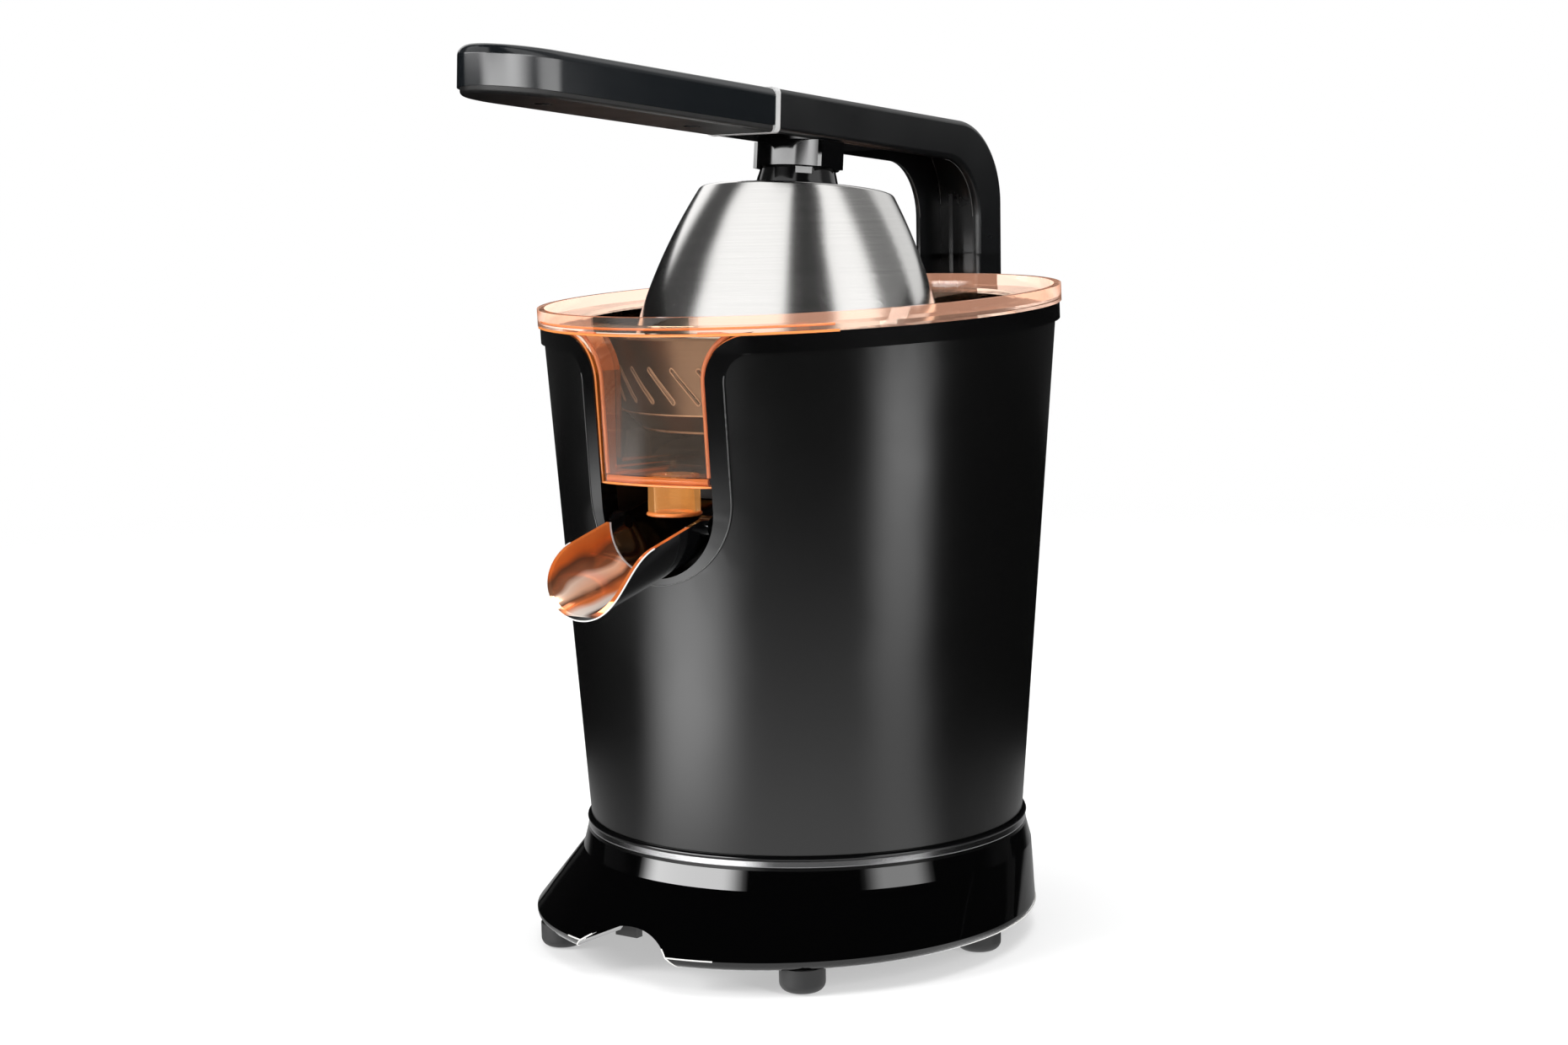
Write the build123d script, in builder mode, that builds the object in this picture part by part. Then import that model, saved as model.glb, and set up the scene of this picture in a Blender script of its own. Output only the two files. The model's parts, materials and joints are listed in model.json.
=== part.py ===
"""Electric citrus press with a lever arm, a tilting spout and a geared reamer drive."""
import os
from math import acos, cos, pi, radians, sin, sqrt, tan

from build123d import *

os.makedirs("parts", exist_ok=True)

# Lengths are millimetres. Z is up from the table, the spout faces -Y, and heights are above the table.
# Distances along Y are measured from the press axis, the upright line that the reamer turns on.

# Cuts and fits
OVERRUN = 4.0  # how far a cut runs past the face that it opens
RUN_GAP = 0.05  # radial clearance of a pin or shaft that turns in its hole
SLIP_GAP = 0.3  # clearance between neighbours that move past each other
FIT_GAP = 0.2  # clearance of a piece that drops into a seat

# Body shell and rim
BODY_Y = 4.0  # the body's axis lies behind the press axis
RIM_Z = 216.0  # top of the rim, at the body's axis
RIM_TILT = 3.3  # degrees that the rim drops towards the spout
SHELL_RIM_R = 87.4  # shell radius carried up to the rim's height
SHELL_FOOT_R = 74.4
SHELL_FOOT_Z = 37.5
SHELL_T = 1.2
SHELL_TAPER = (SHELL_RIM_R - SHELL_FOOT_R) / (RIM_Z - SHELL_FOOT_Z)
RIM_OVERHANG = 1.3  # the rim stands out past the shell
RIM_R = SHELL_RIM_R + RIM_OVERHANG

# Reach of the whole press, which places the press axis in the frame
GRIP_REACH = 158.9  # press axis to the tip of the grip
POST_STANDOFF = 25.6  # shell's back at the rim to the back of the arm's post
POST_BACK = BODY_Y + SHELL_RIM_R + POST_STANDOFF
AXIS_Y = (GRIP_REACH - POST_BACK) / 2

# Juice bowl
LIP_H = 5.7
LIP_T = 2.4
LIP_ROUND = 0.9
DECK_DROP = 3.8  # lip top down to the tray's floor
BOWL_INSET = 13.4  # the bowl's wall lies this far inside the shell's rim
BOWL_R = SHELL_RIM_R - BOWL_INSET
BOWL_T = 2.0
BOWL_FLOOR_Z = 162.0
BOWL_FLOOR_T = 2.0
SLAB_Z = 157.8  # underside of the window tongue
SLAB_T = 3.0
TONGUE_ROOT = 40.0  # the tongue starts this far in front of the press axis
TONGUE_RECESS = 0.5  # tongue face behind the shell's face
OUTLET_INSET = 11.6  # outlet behind the shell's front at the slot's foot
OUTLET_R = 8.4
OUTLET_T = 1.9
OUTLET_L = 9.8
CHIMNEY_R = 11.0
CHIMNEY_BORE_R = 7.5
CHIMNEY_TOP_Z = 184.0
SHOULDER_R = 15.0
SHOULDER_Z = 172.5

# Top collar and the bezel round the front slot
COLLAR_PROUD = 0.6
COLLAR_R = SHELL_RIM_R + COLLAR_PROUD
COLLAR_GAP = 1.2
COLLAR_IN_R = BOWL_R + BOWL_T + COLLAR_GAP
BEZEL_W = 5.9
BEZEL_PROUD = 0.6
BEZEL_DEPTH = 7.0
BEZEL_LOW_Z = 154.0  # centre of the bezel's half-round foot
SLOT_HALF_W = 22.3
SLOT_FLARE_R = 15.0
SLOT_LOW_Z = 150.3  # centre of the slot's half-round foot
SLOT_FRONT_Y = BODY_Y - SHELL_FOOT_R - (SLOT_LOW_Z - SHELL_FOOT_Z) * SHELL_TAPER
OUTLET_Y = SLOT_FRONT_Y + OUTLET_INSET
SPIGOT_H = 6.0
SPIGOT_INSET = 4.0
SPIGOT_R = SHELL_RIM_R - SPIGOT_INSET
SPIGOT_T = 3.0

# Base
SKIRT_FOOT_Z = 8.0
SKIRT_WIDE_Z = 11.0
SKIRT_HALF_W = 84.2
SKIRT_HALF_D = 87.5
SKIRT_Y = -8.7
SKIRT_TOP_Z = 34.6
SKIRT_LEDGE = 1.4  # the skirt's top stands out past the shell's foot
SKIRT_TOP_R = SHELL_FOOT_R + SKIRT_LEDGE
SKIRT_BAND_Z = 28.2  # crease below the steep band at the skirt's top
SKIRT_BAND_FLARE = 1.7
SKIRT_BAND_R = SKIRT_TOP_R + SKIRT_BAND_FLARE
SKIRT_T = 2.6
SKIRT_DECK_T = 3.0
SKIRT_DECK_W = 15.8
SKIRT_HOLE_R = SKIRT_TOP_R - SKIRT_DECK_W
SKIRT_FOOT_R = 2.6
FLANGE_W = 22.0
FLANGE_T = 2.4
ARCH_X = -4.0  # the arch stands a little to one side of the spout
ARCH_HALF_W = 21.5
ARCH_CROWN_Z = 16.8
TRIM_TAPER = 0.4
TRIM_TOP_R = SKIRT_TOP_R - TRIM_TAPER
PLATE_Z = 24.0
PLATE_T = 3.0
WRAP_POST_W = 2.9
WRAP_POST_D = 3.0
WRAP_POST_L = 21.0
WRAP_POST_X = -5.2
WRAP_POST_Y = -58.5
WRAP_WALL_STEP = 24.8  # from the middle post to the wall on each side of it
WRAP_WALL_W = 9.1
WRAP_REAR_X = 20.0
WRAP_REAR_Y = 52.0
FOOT_R = 7.4
FOOT_ROUND = 3.0
FOOT_STEM_R = 3.0
FOOT_FRONT_SHARES = (0.582, -0.7)  # of the skirt's half width and half depth
FOOT_SIDE_SHARES = (0.855, 0.088)
FOOT_REAR_SHARES = (0.534, 0.671)
BASE_SCREW_R = 1.6
BASE_SCREW_HEAD_R = 3.2
BASE_SCREW_HEAD_H = 1.8
BASE_SCREW_X = 46.0
BASE_SCREW_Y = 38.0
BASE_BOSS_R = 4.5
GLAND_Z = 17.0
GLAND_BORE_R = 3.4
GLAND_R = 5.0
GLAND_FLANGE_R = 7.6
GLAND_FLANGE_T = 2.2
GLAND_L = 9.0

# Chassis inside the shell
CHASSIS_INSET = 5.9
CHASSIS_R = SHELL_FOOT_R - CHASSIS_INSET
CHASSIS_T = 2.5
CHASSIS_TOP_Z = 118.0
CHASSIS_DECK_T = 3.0
CHASSIS_WINDOW_W = 60.0
CHASSIS_WINDOW_H = 46.0
CHASSIS_WINDOW_Z = 76.0
CHASSIS_HOLE_R = 12.0

# Motor, hung under the chassis deck
CAN_R = 33.0
CAN_T = 2.0
CAN_FOOT_Z = 52.0
CAN_EAR_R = 4.5
END_CAP_T = 3.0
STATOR_Z = 64.0
STATOR_H = 34.0
STATOR_IN_R = 17.4
WINDING_R = 28.0
WINDING_IN_R = 19.0
WINDING_H = 8.0
ROTOR_R = 16.8
ROTOR_SHAFT_R = 3.0
ROTOR_FOOT_Z = 46.5
COMMUTATOR_R = 8.0
COMMUTATOR_H = 6.0
FAN_R = 24.0
FAN_HUB_R = 7.0
FAN_T = 1.6
FAN_BLADE_H = 4.5
FAN_BLADE_T = 1.4
FAN_BLADES = 9
FAN_GAP = 1.5
MOTOR_BUSH_R = 5.5
MOTOR_BUSH_L = 6.0
MOTOR_SCREW_R = 1.9
MOTOR_SCREW_L = 9.0
MOTOR_SCREW_HEAD_R = 3.4
MOTOR_SCREW_HEAD_H = 2.2

# Gear train: motor pinion to idler wheel, idler pinion to output wheel, both on one centre distance
MODULE = 0.8
PINION_TEETH = 15
IDLER_TEETH = 45
IDLER_PINION_TEETH = 18
OUTPUT_TEETH = 42
ADDENDUM_SHARE = 0.8
DEDENDUM_SHARE = 1.1
BACKLASH = 0.16
PRESSURE_ANGLE = 20.0
FLANK_STEPS = 4
GEAR_CENTRES = MODULE * (PINION_TEETH + IDLER_TEETH) / 2
STAGE_1_Z = 122.0
STAGE_1_H = 8.0
STAGE_2_Z = 132.0
STAGE_2_H = 9.0
GEARBOX_IN_R = 20.5
GEARBOX_T = 2.5
GEARBOX_FLOOR_T = 2.5
GEARBOX_TOP_Z = 143.0
GEARBOX_COVER_T = 3.0
GEARBOX_BOSS_R = 4.0
GEARBOX_SCREW_R = 1.4
GEARBOX_SCREW_L = 10.0
GEARBOX_SCREW_HEAD_R = 2.7
GEARBOX_SCREW_HEAD_H = 1.8
IDLER_AXLE_R = 2.5
OUTPUT_HUB_R = 6.0
OUTPUT_HUB_TOP_Z = 147.5
OUTPUT_BUSH_R = 8.4
OUTPUT_BUSH_TOP_Z = 148.5

# Drive shaft, press switch and reamer
SHAFT_R = 4.0
SHAFT_HEX_R = 4.3  # half the width across the hexagon's corners
SHAFT_FOOT_Z = 134.0
SHAFT_HEX_TOP_Z = 151.0
SHAFT_TOP_Z = 206.0
PRESS_FLANGE_Z = 156.0
PRESS_FLANGE_T = 2.5
PRESS_FLANGE_R = 13.0
PRESS_TRAVEL = 3.0
SPRING_R = 7.4
SPRING_WIRE = 1.1
SWITCH_X = -19.0
SWITCH_L = 18.0
SWITCH_W = 6.4
SWITCH_H = 6.2
PLUNGER_X = -11.2
PLUNGER_R = 1.2
PLUNGER_DEPTH = 4.6
SEAL_H = 4.0
SEAL_LIP = 0.4
SHAFT_BUSH_Z = 163.0
SHAFT_BUSH_H = 8.0
CONE_FOOT_Z = 189.0
CONE_R = 33.0
CONE_RIM_H = 3.0
CONE_H = 43.0
CONE_TOP_R = 3.2
CONE_BELLY_R = 25.0
CONE_BELLY_SHARE = 0.42
CONE_RIBS = 8
CONE_RIB_T = 2.4
CONE_RIB_RISE = 2.2
CONE_HUB_R = 8.0
CONE_WALL = 2.4

# Sieve
SIEVE_T = 0.8
SIEVE_GAP = 7.5  # the sieve's rim lies this far inside the bowl
SIEVE_RIM_R = BOWL_R - SIEVE_GAP
SIEVE_RIM_W = 3.5
SIEVE_TOP_R = SIEVE_RIM_R - SIEVE_RIM_W
SIEVE_TOP_Z = 203.0
SIEVE_TAPER = 5.0
SIEVE_FOOT_R = SIEVE_TOP_R - SIEVE_TAPER
SIEVE_FOOT_W = 7.0
SIEVE_FOOT_H = 6.0
SIEVE_FLOOR_R = SIEVE_FOOT_R - SIEVE_FOOT_W
SIEVE_SLOTS = 36
SIEVE_SLOT_L = 15.0
SIEVE_SLOT_W = 1.6
SIEVE_SLOT_LEAN = -50.0
SIEVE_SLOT_Z = 188.0
SIEVE_FLOOR_SLOTS = 20
SIEVE_FLOOR_SLOT_L = 22.0
SIEVE_FLOOR_EDGE = 6.0
SIEVE_FLOOR_SLOT_R = SIEVE_FLOOR_R - SIEVE_FLOOR_EDGE - SIEVE_FLOOR_SLOT_L / 2

# Spout, a half-round gutter that tips up on two pins
SPOUT_R = 16.8
SPOUT_T = 1.6
SPOUT_SLOPE = 14.7
SPOUT_SET = 2.6  # a point on the gutter's rim line, behind the shell's front at the slot's foot
SPOUT_RIM_Y = SLOT_FRONT_Y + SPOUT_SET
SPOUT_RIM_Z = 147.0
SPOUT_ROOT_L = 19.0
SPOUT_BACK_Y = SPOUT_RIM_Y + SPOUT_ROOT_L
SPOUT_STEP = 5.0
SPOUT_STEP_Y = SPOUT_RIM_Y - SPOUT_STEP  # where the dark root ends and the bright lip begins
SPOUT_SWEEP = 23.0
SPOUT_SWEEP_Y = SPOUT_RIM_Y - SPOUT_SWEEP  # where the rim line turns down to the tip
SPOUT_REACH = 38.8
SPOUT_TIP_Y = SPOUT_RIM_Y - SPOUT_REACH
SPOUT_PIVOT_SET = 4.0
SPOUT_PIVOT_Y = SPOUT_RIM_Y + SPOUT_PIVOT_SET
SPOUT_PIVOT_Z = 145.0
SPOUT_PIN_R = 2.0
SPOUT_LUG_R = 3.6
SPOUT_LUG_X = 19.6
SPOUT_PIN_END_X = 25.0
WELL_DEPTH = 30.6
WELL_BACK_Y = SLOT_FRONT_Y + WELL_DEPTH
WELL_LOW_Z = 146.3  # centre of the well's half-round foot
WELL_T = 1.5

# Arm: an inverted L of channel section
ARM_SLOPE = 3.6  # degrees that the arm rises towards the grip
ARM_TOP_Z = 281.7  # arm top at the press axis
ARM_W = 28.0
ARM_T = 14.4
ARM_WALL = 2.6
POST_D = 17.2
BEND_R = 29.5
ARCH_R = 20.5
ARM_ROUND = 2.0
PIN_Z = 188.0
ARM_PIN_R = 3.0
ARM_BUSH_R = 5.0
WEB_RISE = 2.6  # the post's web stops this far above the pin
RAIL_X = 4.5
RAIL_T = 1.6
RAIL_D = 4.0
RAIL_LOW_Z = 204.0
RAIL_TOP_Z = 250.0
ARM_FRONT = -24.4  # front end of the arm casing, along the arm
TRIM_W = 2.4
TRIM_PROUD = 0.25
GRIP_SIDE_H = 12.2
GRIP_WALL = 2.2
GRIP_ROUND = 3.2
GRIP_NOSE_L = 26.0
UNDERSIDE_INSET = 0.9
UNDERSIDE_ROUND = 1.2
GRIP_SCREW_R = 1.5
GRIP_SCREW_HEAD_R = 2.9
GRIP_SCREW_HEAD_H = 1.6
GRIP_SCREW_SHARES = (0.25, 0.8)
CORE_HALF_W = 9.0
CORE_T = 6.6
CORE_FRONT = -140.0
CORE_BACK = 48.0

# Rear bracket that carries the arm
TONGUE_HALF_W = 10.8
TONGUE_R = 5.6
FLANGE_HALF_W = 21.0
FLANGE_LOW_Z = 168.0
FLANGE_TOP_Z = 207.0
FLANGE_PROUD = 2.6
FLANGE_BACK_Y = BODY_Y + SHELL_RIM_R + FLANGE_PROUD
STOP_IN_X = 10.4
STOP_OUT_X = 15.0
STOP_LOW_Z = 198.0
BRACKET_SCREW_X = 16.5
BRACKET_SCREW_LOW_Z = 174.0
BRACKET_SCREW_TOP_Z = 192.0
BRACKET_SCREW_R = 1.9
BRACKET_SCREW_HEAD_R = 3.4
BRACKET_SCREW_HEAD_H = 2.2
BRACKET_PLATE_T = 3.0

# Press dome, its neck and the hub boss under the arm
DOME_TILT = 6.3  # degrees that the dome's axis leans back
DOME_Y = 4.0
DOME_TOP_Z = 250.3
DOME_GAP = 9.7  # the dome's foot lies this far inside the sieve
DOME_FOOT_R = SIEVE_TOP_R - DOME_GAP
DOME_FOOT_SWELL = 9.8
DOME_BELLY_R = DOME_FOOT_R - DOME_FOOT_SWELL
DOME_BELLY_DROP = 22.0
DOME_TOP_SWELL = 10.8
DOME_TOP_R = DOME_BELLY_R - DOME_TOP_SWELL
DOME_H = 54.0
DOME_T = 1.0
DOME_ROUND = 1.8
LINER_T = 1.8
LINER_H = 40.0
LINER_RIBS = 6
LINER_RIB_D = 5.0
LINER_RIB_T = 2.0
NECK_FOOT_R = 14.2
NECK_TOP_R = 12.7
NECK_H = 7.6
NECK_FOOT_H = 1.6
NECK_WINDOW_W = 6.0
NECK_WINDOW_H = 2.6
NECK_WINDOW_D = 1.2
HUB_R = 14.0
HUB_TAB_W = 13.0
HUB_TAB_T = 2.4
HUB_PLATE_T = 2.2
HUB_PLATE_BACK = 42.0
DOME_SCREW_R = 2.0
DOME_SCREW_HEAD_R = 4.0
DOME_SCREW_HEAD_H = 2.4
DOME_SCREW_L = 17.0

# Planes and axes that the pieces share
TILT = radians(RIM_TILT)
LEAN = radians(DOME_TILT)
RISE = radians(ARM_SLOPE)
FALL = radians(SPOUT_SLOPE)
SIDE = Plane((0, AXIS_Y, 0), x_dir=(0, 1, 0), z_dir=(1, 0, 0))
FRONT = Plane((0, AXIS_Y, 0), x_dir=(1, 0, 0), z_dir=(0, -1, 0))
BODY_FRONT = Plane((0, AXIS_Y + BODY_Y, 0), x_dir=(1, 0, 0), z_dir=(0, -1, 0))
RIM = Plane((0, AXIS_Y + BODY_Y, RIM_Z), x_dir=(1, 0, 0), z_dir=(0, -sin(TILT), cos(TILT)))
RIM_SECTION = Plane(RIM.origin, x_dir=(1, 0, 0), z_dir=-RIM.y_dir)
ARM_TOP = Plane((0, AXIS_Y, ARM_TOP_Z), x_dir=(1, 0, 0), z_dir=(0, sin(RISE), cos(RISE)))
DOME = Plane((0, AXIS_Y + DOME_Y, DOME_TOP_Z), x_dir=(1, 0, 0), z_dir=(0, sin(LEAN), cos(LEAN)))
DOME_SECTION = Plane(DOME.origin, x_dir=(1, 0, 0), z_dir=-DOME.y_dir)
PRESS_AXIS = Axis((0, AXIS_Y, 0), (0, 0, 1))
BODY_AXIS = Axis((0, AXIS_Y + BODY_Y, 0), (0, 0, 1))
RIM_AXIS = Axis(RIM.origin, RIM.z_dir)
DOME_AXIS = Axis(DOME.origin, DOME.z_dir)

# Heights and places that follow from the values above
SLOT_TOP_Z = RIM_Z + (BODY_Y - RIM_R) * tan(TILT) - LIP_H
COLLAR_DROP = LIP_H + BEZEL_W
BEZEL_HALF_W = SLOT_HALF_W + BEZEL_W
BEZEL_FLARE_R = SLOT_FLARE_R - BEZEL_W
FRONT_REACH = BODY_Y + RIM_R + OVERRUN
PIN_Y = POST_BACK - POST_D / 2
ARM_HALF_W = ARM_W / 2
BORE_HALF_W = ARM_HALF_W - ARM_WALL
DIAGONAL_SHARE = sqrt(0.5)


def level(z, y=0.0):
    """A level plane at a height, centred a distance behind the press axis."""
    return Plane((0, AXIS_Y + y, z))


def shell_r(z):
    """Outer radius of the shell's cone at a height."""
    return SHELL_FOOT_R + (z - SHELL_FOOT_Z) * SHELL_TAPER


def cone_section(outset, inset, low_z, top_z):
    """Section of a layer that follows the shell's cone."""
    Polyline(
        (shell_r(low_z) - inset, low_z),
        (shell_r(low_z) + outset, low_z),
        (shell_r(top_z) + outset, top_z),
        (shell_r(top_z) - inset, top_z),
        close=True,
    )


def cone_core(inset, low_z, top_z):
    """Section of a solid plug that follows the shell's cone, up to the body's axis."""
    Polyline(
        (0, low_z),
        (shell_r(low_z) - inset, low_z),
        (shell_r(top_z) - inset, top_z),
        (0, top_z),
        close=True,
    )


def slot_sides(half_w, flare_r, foot_z, top_z):
    """Sides and top of the front slot's outline, which is open at its foot."""
    flare_z = top_z - flare_r
    wide = half_w + flare_r
    high = top_z + OVERRUN + RIM_R * tan(TILT)
    turn = flare_r * DIAGONAL_SHARE
    for side in (-1, 1):
        Line((side * half_w, foot_z), (side * half_w, flare_z))
        ThreePointArc(
            (side * half_w, flare_z),
            (side * (wide - turn), flare_z + turn),
            (side * wide, top_z),
        )
        Line((side * wide, top_z), (side * wide, high))
    Line((-wide, high), (wide, high))


def round_slot(half_w, flare_r, low_z, top_z):
    """Outline of the front slot with a half-round foot."""
    slot_sides(half_w, flare_r, low_z, top_z)
    ThreePointArc((-half_w, low_z), (0, low_z - half_w), (half_w, low_z))


def square_slot(half_w, flare_r, low_z, top_z):
    """Outline of the front slot with a flat foot."""
    slot_sides(half_w, flare_r, low_z, top_z)
    Line((-half_w, low_z), (half_w, low_z))


def skirt_at(z):
    """Half width, half depth and centre of the flared skirt's outline at a height below its band."""
    share = (z - SKIRT_WIDE_Z) / (SKIRT_BAND_Z - SKIRT_WIDE_Z)
    half_w = SKIRT_HALF_W + share * (SKIRT_BAND_R - SKIRT_HALF_W)
    half_d = SKIRT_HALF_D + share * (SKIRT_BAND_R - SKIRT_HALF_D)
    return half_w, half_d, SKIRT_Y + share * (BODY_Y - SKIRT_Y)


def foot_spots():
    """Places of the six feet, from the press axis."""
    spots = []
    for across, along in (FOOT_FRONT_SHARES, FOOT_SIDE_SHARES, FOOT_REAR_SHARES):
        for side in (-1, 1):
            spots.append((side * across * SKIRT_HALF_W, SKIRT_Y + along * SKIRT_HALF_D))
    return spots


def gear_points(teeth, turn=0.0):
    """Outline of an involute spur gear, with a tooth centred on the X axis before it is turned."""
    pitch_r = MODULE * teeth / 2
    base_r = pitch_r * cos(radians(PRESSURE_ANGLE))
    tip_r = pitch_r + ADDENDUM_SHARE * MODULE
    root_r = pitch_r - DEDENDUM_SHARE * MODULE
    start_r = max(base_r, root_r)

    def roll(r):
        return tan(acos(base_r / r)) - acos(base_r / r)

    half_tooth = pi / (2 * teeth) - BACKLASH / (2 * pitch_r)
    flank = []
    for step in range(FLANK_STEPS + 1):
        r = start_r + (tip_r - start_r) * step / FLANK_STEPS
        flank.append((r, half_tooth + roll(pitch_r) - roll(r)))
    if root_r < base_r:
        flank.insert(0, (root_r, flank[0][1]))
    points = []
    for tooth in range(teeth):
        middle = 2 * pi * tooth / teeth + turn
        rising = [(r, middle - angle) for r, angle in flank]
        falling = [(r, middle + angle) for r, angle in reversed(flank)]
        points += [(r * cos(a), r * sin(a)) for r, a in rising + falling]
    return points


def arm_line(drop, y):
    """Height of the line that lies a drop below the arm's top, at a distance along Y."""
    return ARM_TOP_Z - drop / cos(RISE) - y * tan(RISE)


def arm_corner(radius, back_y, drop):
    """Centre of an arc that meets an upright line at back_y and the arm line a drop below the top."""
    y = back_y - radius
    return y, arm_line(drop + radius, y)


def arm_turn(radius, back_y, drop):
    """End, middle and start of that arc, from the arm line round to the upright line."""
    y, z = arm_corner(radius, back_y, drop)
    half = (pi / 2 - RISE) / 2
    ends = []
    for angle in (pi / 2 - RISE, half, 0):
        ends.append((y + radius * cos(angle), z + radius * sin(angle)))
    return ends


def save(piece, name):
    """Label a finished piece and write its file."""
    piece.part.label = name
    export_step(piece.part, f"parts/{name}.step")


# Base skirt: a flared foot drawn out to the front, hollow, with an arch at the front and a bottom flange
_, GLAND_HALF_D, GLAND_Y = skirt_at(GLAND_Z)
GLAND_SEAT_Y = GLAND_Y + GLAND_HALF_D
with BuildPart() as base_skirt:
    with BuildSketch(level(SKIRT_WIDE_Z, SKIRT_Y)):
        Ellipse(SKIRT_HALF_W, SKIRT_HALF_D)
    with BuildSketch(level(SKIRT_BAND_Z, BODY_Y)):
        Ellipse(SKIRT_BAND_R, SKIRT_BAND_R)
    loft()
    with BuildSketch(BODY_FRONT):
        with BuildLine():
            Polyline(
                (0, SKIRT_BAND_Z),
                (SKIRT_BAND_R, SKIRT_BAND_Z),
                (SKIRT_TOP_R, SKIRT_TOP_Z),
                (0, SKIRT_TOP_Z),
                close=True,
            )
        make_face()
    revolve(axis=BODY_AXIS)
    with BuildSketch(level(SKIRT_FOOT_Z, SKIRT_Y)):
        Ellipse(SKIRT_HALF_W, SKIRT_HALF_D)
    extrude(amount=SKIRT_WIDE_Z - SKIRT_FOOT_Z)
    fillet(base_skirt.faces().sort_by(Axis.Z)[0].edges(), SKIRT_FOOT_R)
    with BuildSketch(level(SKIRT_WIDE_Z, SKIRT_Y)):
        Ellipse(SKIRT_HALF_W - SKIRT_T, SKIRT_HALF_D - SKIRT_T)
    with BuildSketch(level(SKIRT_BAND_Z, BODY_Y)):
        Ellipse(SKIRT_BAND_R - SKIRT_T, SKIRT_BAND_R - SKIRT_T)
    loft(mode=Mode.SUBTRACT)
    with BuildSketch(level(SKIRT_BAND_Z, BODY_Y)):
        Circle(SKIRT_TOP_R - SKIRT_T)
    extrude(amount=SKIRT_TOP_Z - SKIRT_DECK_T - SKIRT_BAND_Z, mode=Mode.SUBTRACT)
    with BuildSketch(level(SKIRT_FOOT_Z + FLANGE_T, SKIRT_Y)):
        Ellipse(SKIRT_HALF_W - SKIRT_T, SKIRT_HALF_D - SKIRT_T)
    extrude(amount=SKIRT_WIDE_Z - SKIRT_FOOT_Z - FLANGE_T, mode=Mode.SUBTRACT)
    with BuildSketch(level(SKIRT_FOOT_Z, SKIRT_Y)):
        Ellipse(SKIRT_HALF_W - FLANGE_W, SKIRT_HALF_D - FLANGE_W)
    extrude(amount=FLANGE_T + OVERRUN, mode=Mode.SUBTRACT)
    with BuildSketch(level(SKIRT_FOOT_Z, BODY_Y)):
        Circle(SKIRT_HOLE_R)
    extrude(amount=SKIRT_TOP_Z, mode=Mode.SUBTRACT)
    with BuildSketch(FRONT.offset(-SKIRT_Y)):
        with BuildLine():
            arch_left = (ARCH_X - ARCH_HALF_W, SKIRT_FOOT_Z)
            arch_right = (ARCH_X + ARCH_HALF_W, SKIRT_FOOT_Z)
            ThreePointArc(arch_left, (ARCH_X, ARCH_CROWN_Z), arch_right)
            Polyline(arch_right, (arch_right[0], 0), (arch_left[0], 0), arch_left)
        make_face()
    extrude(amount=SKIRT_HALF_D + OVERRUN, mode=Mode.SUBTRACT)
    with BuildSketch(FRONT.offset(-BODY_Y)):
        with Locations((0, GLAND_Z)):
            Circle(GLAND_R)
    extrude(amount=-SKIRT_HALF_D, mode=Mode.SUBTRACT)
    with BuildSketch(FRONT.offset(-GLAND_SEAT_Y)):
        with Locations((0, GLAND_Z)):
            Circle(GLAND_FLANGE_R + FIT_GAP)
    extrude(amount=-SKIRT_HALF_D, mode=Mode.SUBTRACT)
    with BuildSketch(level(SKIRT_FOOT_Z)):
        with Locations(*foot_spots()):
            Circle(FOOT_STEM_R)
    extrude(amount=FLANGE_T, mode=Mode.SUBTRACT)
save(base_skirt, "base_skirt")

# Bright bevelled ring on top of the skirt
with BuildPart() as base_trim_ring:
    with BuildSketch(BODY_FRONT):
        with BuildLine():
            Polyline(
                (SKIRT_HOLE_R, SKIRT_TOP_Z),
                (SKIRT_TOP_R, SKIRT_TOP_Z),
                (TRIM_TOP_R, SHELL_FOOT_Z),
                (SKIRT_HOLE_R, SHELL_FOOT_Z),
                close=True,
            )
        make_face()
    revolve(axis=BODY_AXIS)
save(base_trim_ring, "base_trim_ring")

# Base plate with the posts that a lead is wrapped round
_, _, PLATE_Y = skirt_at(PLATE_Z + PLATE_T)
with BuildPart() as base_plate:
    for z in (PLATE_Z, PLATE_Z + PLATE_T):
        half_w, half_d, middle = skirt_at(z)
        with BuildSketch(level(z, middle)):
            Ellipse(half_w - SKIRT_T - FIT_GAP, half_d - SKIRT_T - FIT_GAP)
    loft()
    with BuildSketch(level(PLATE_Z)):
        with Locations((WRAP_POST_X, WRAP_POST_Y)):
            Rectangle(WRAP_POST_W, WRAP_POST_D)
        for side in (-1, 1):
            front = (WRAP_POST_X + side * WRAP_WALL_STEP, WRAP_POST_Y)
            with Locations(front, (side * WRAP_REAR_X, WRAP_REAR_Y)):
                Rectangle(WRAP_WALL_W, WRAP_POST_D)
    extrude(amount=-WRAP_POST_L)
    with BuildSketch(level(PLATE_Z + PLATE_T, PLATE_Y)):
        with GridLocations(2 * BASE_SCREW_X, 2 * BASE_SCREW_Y, 2, 2):
            Circle(BASE_BOSS_R)
    extrude(amount=SKIRT_TOP_Z - SKIRT_DECK_T - PLATE_Z - PLATE_T)
    with BuildSketch(level(PLATE_Z, PLATE_Y)):
        with GridLocations(2 * BASE_SCREW_X, 2 * BASE_SCREW_Y, 2, 2):
            Circle(BASE_SCREW_R)
    extrude(amount=SKIRT_TOP_Z, mode=Mode.SUBTRACT)
save(base_plate, "base_plate")

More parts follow.
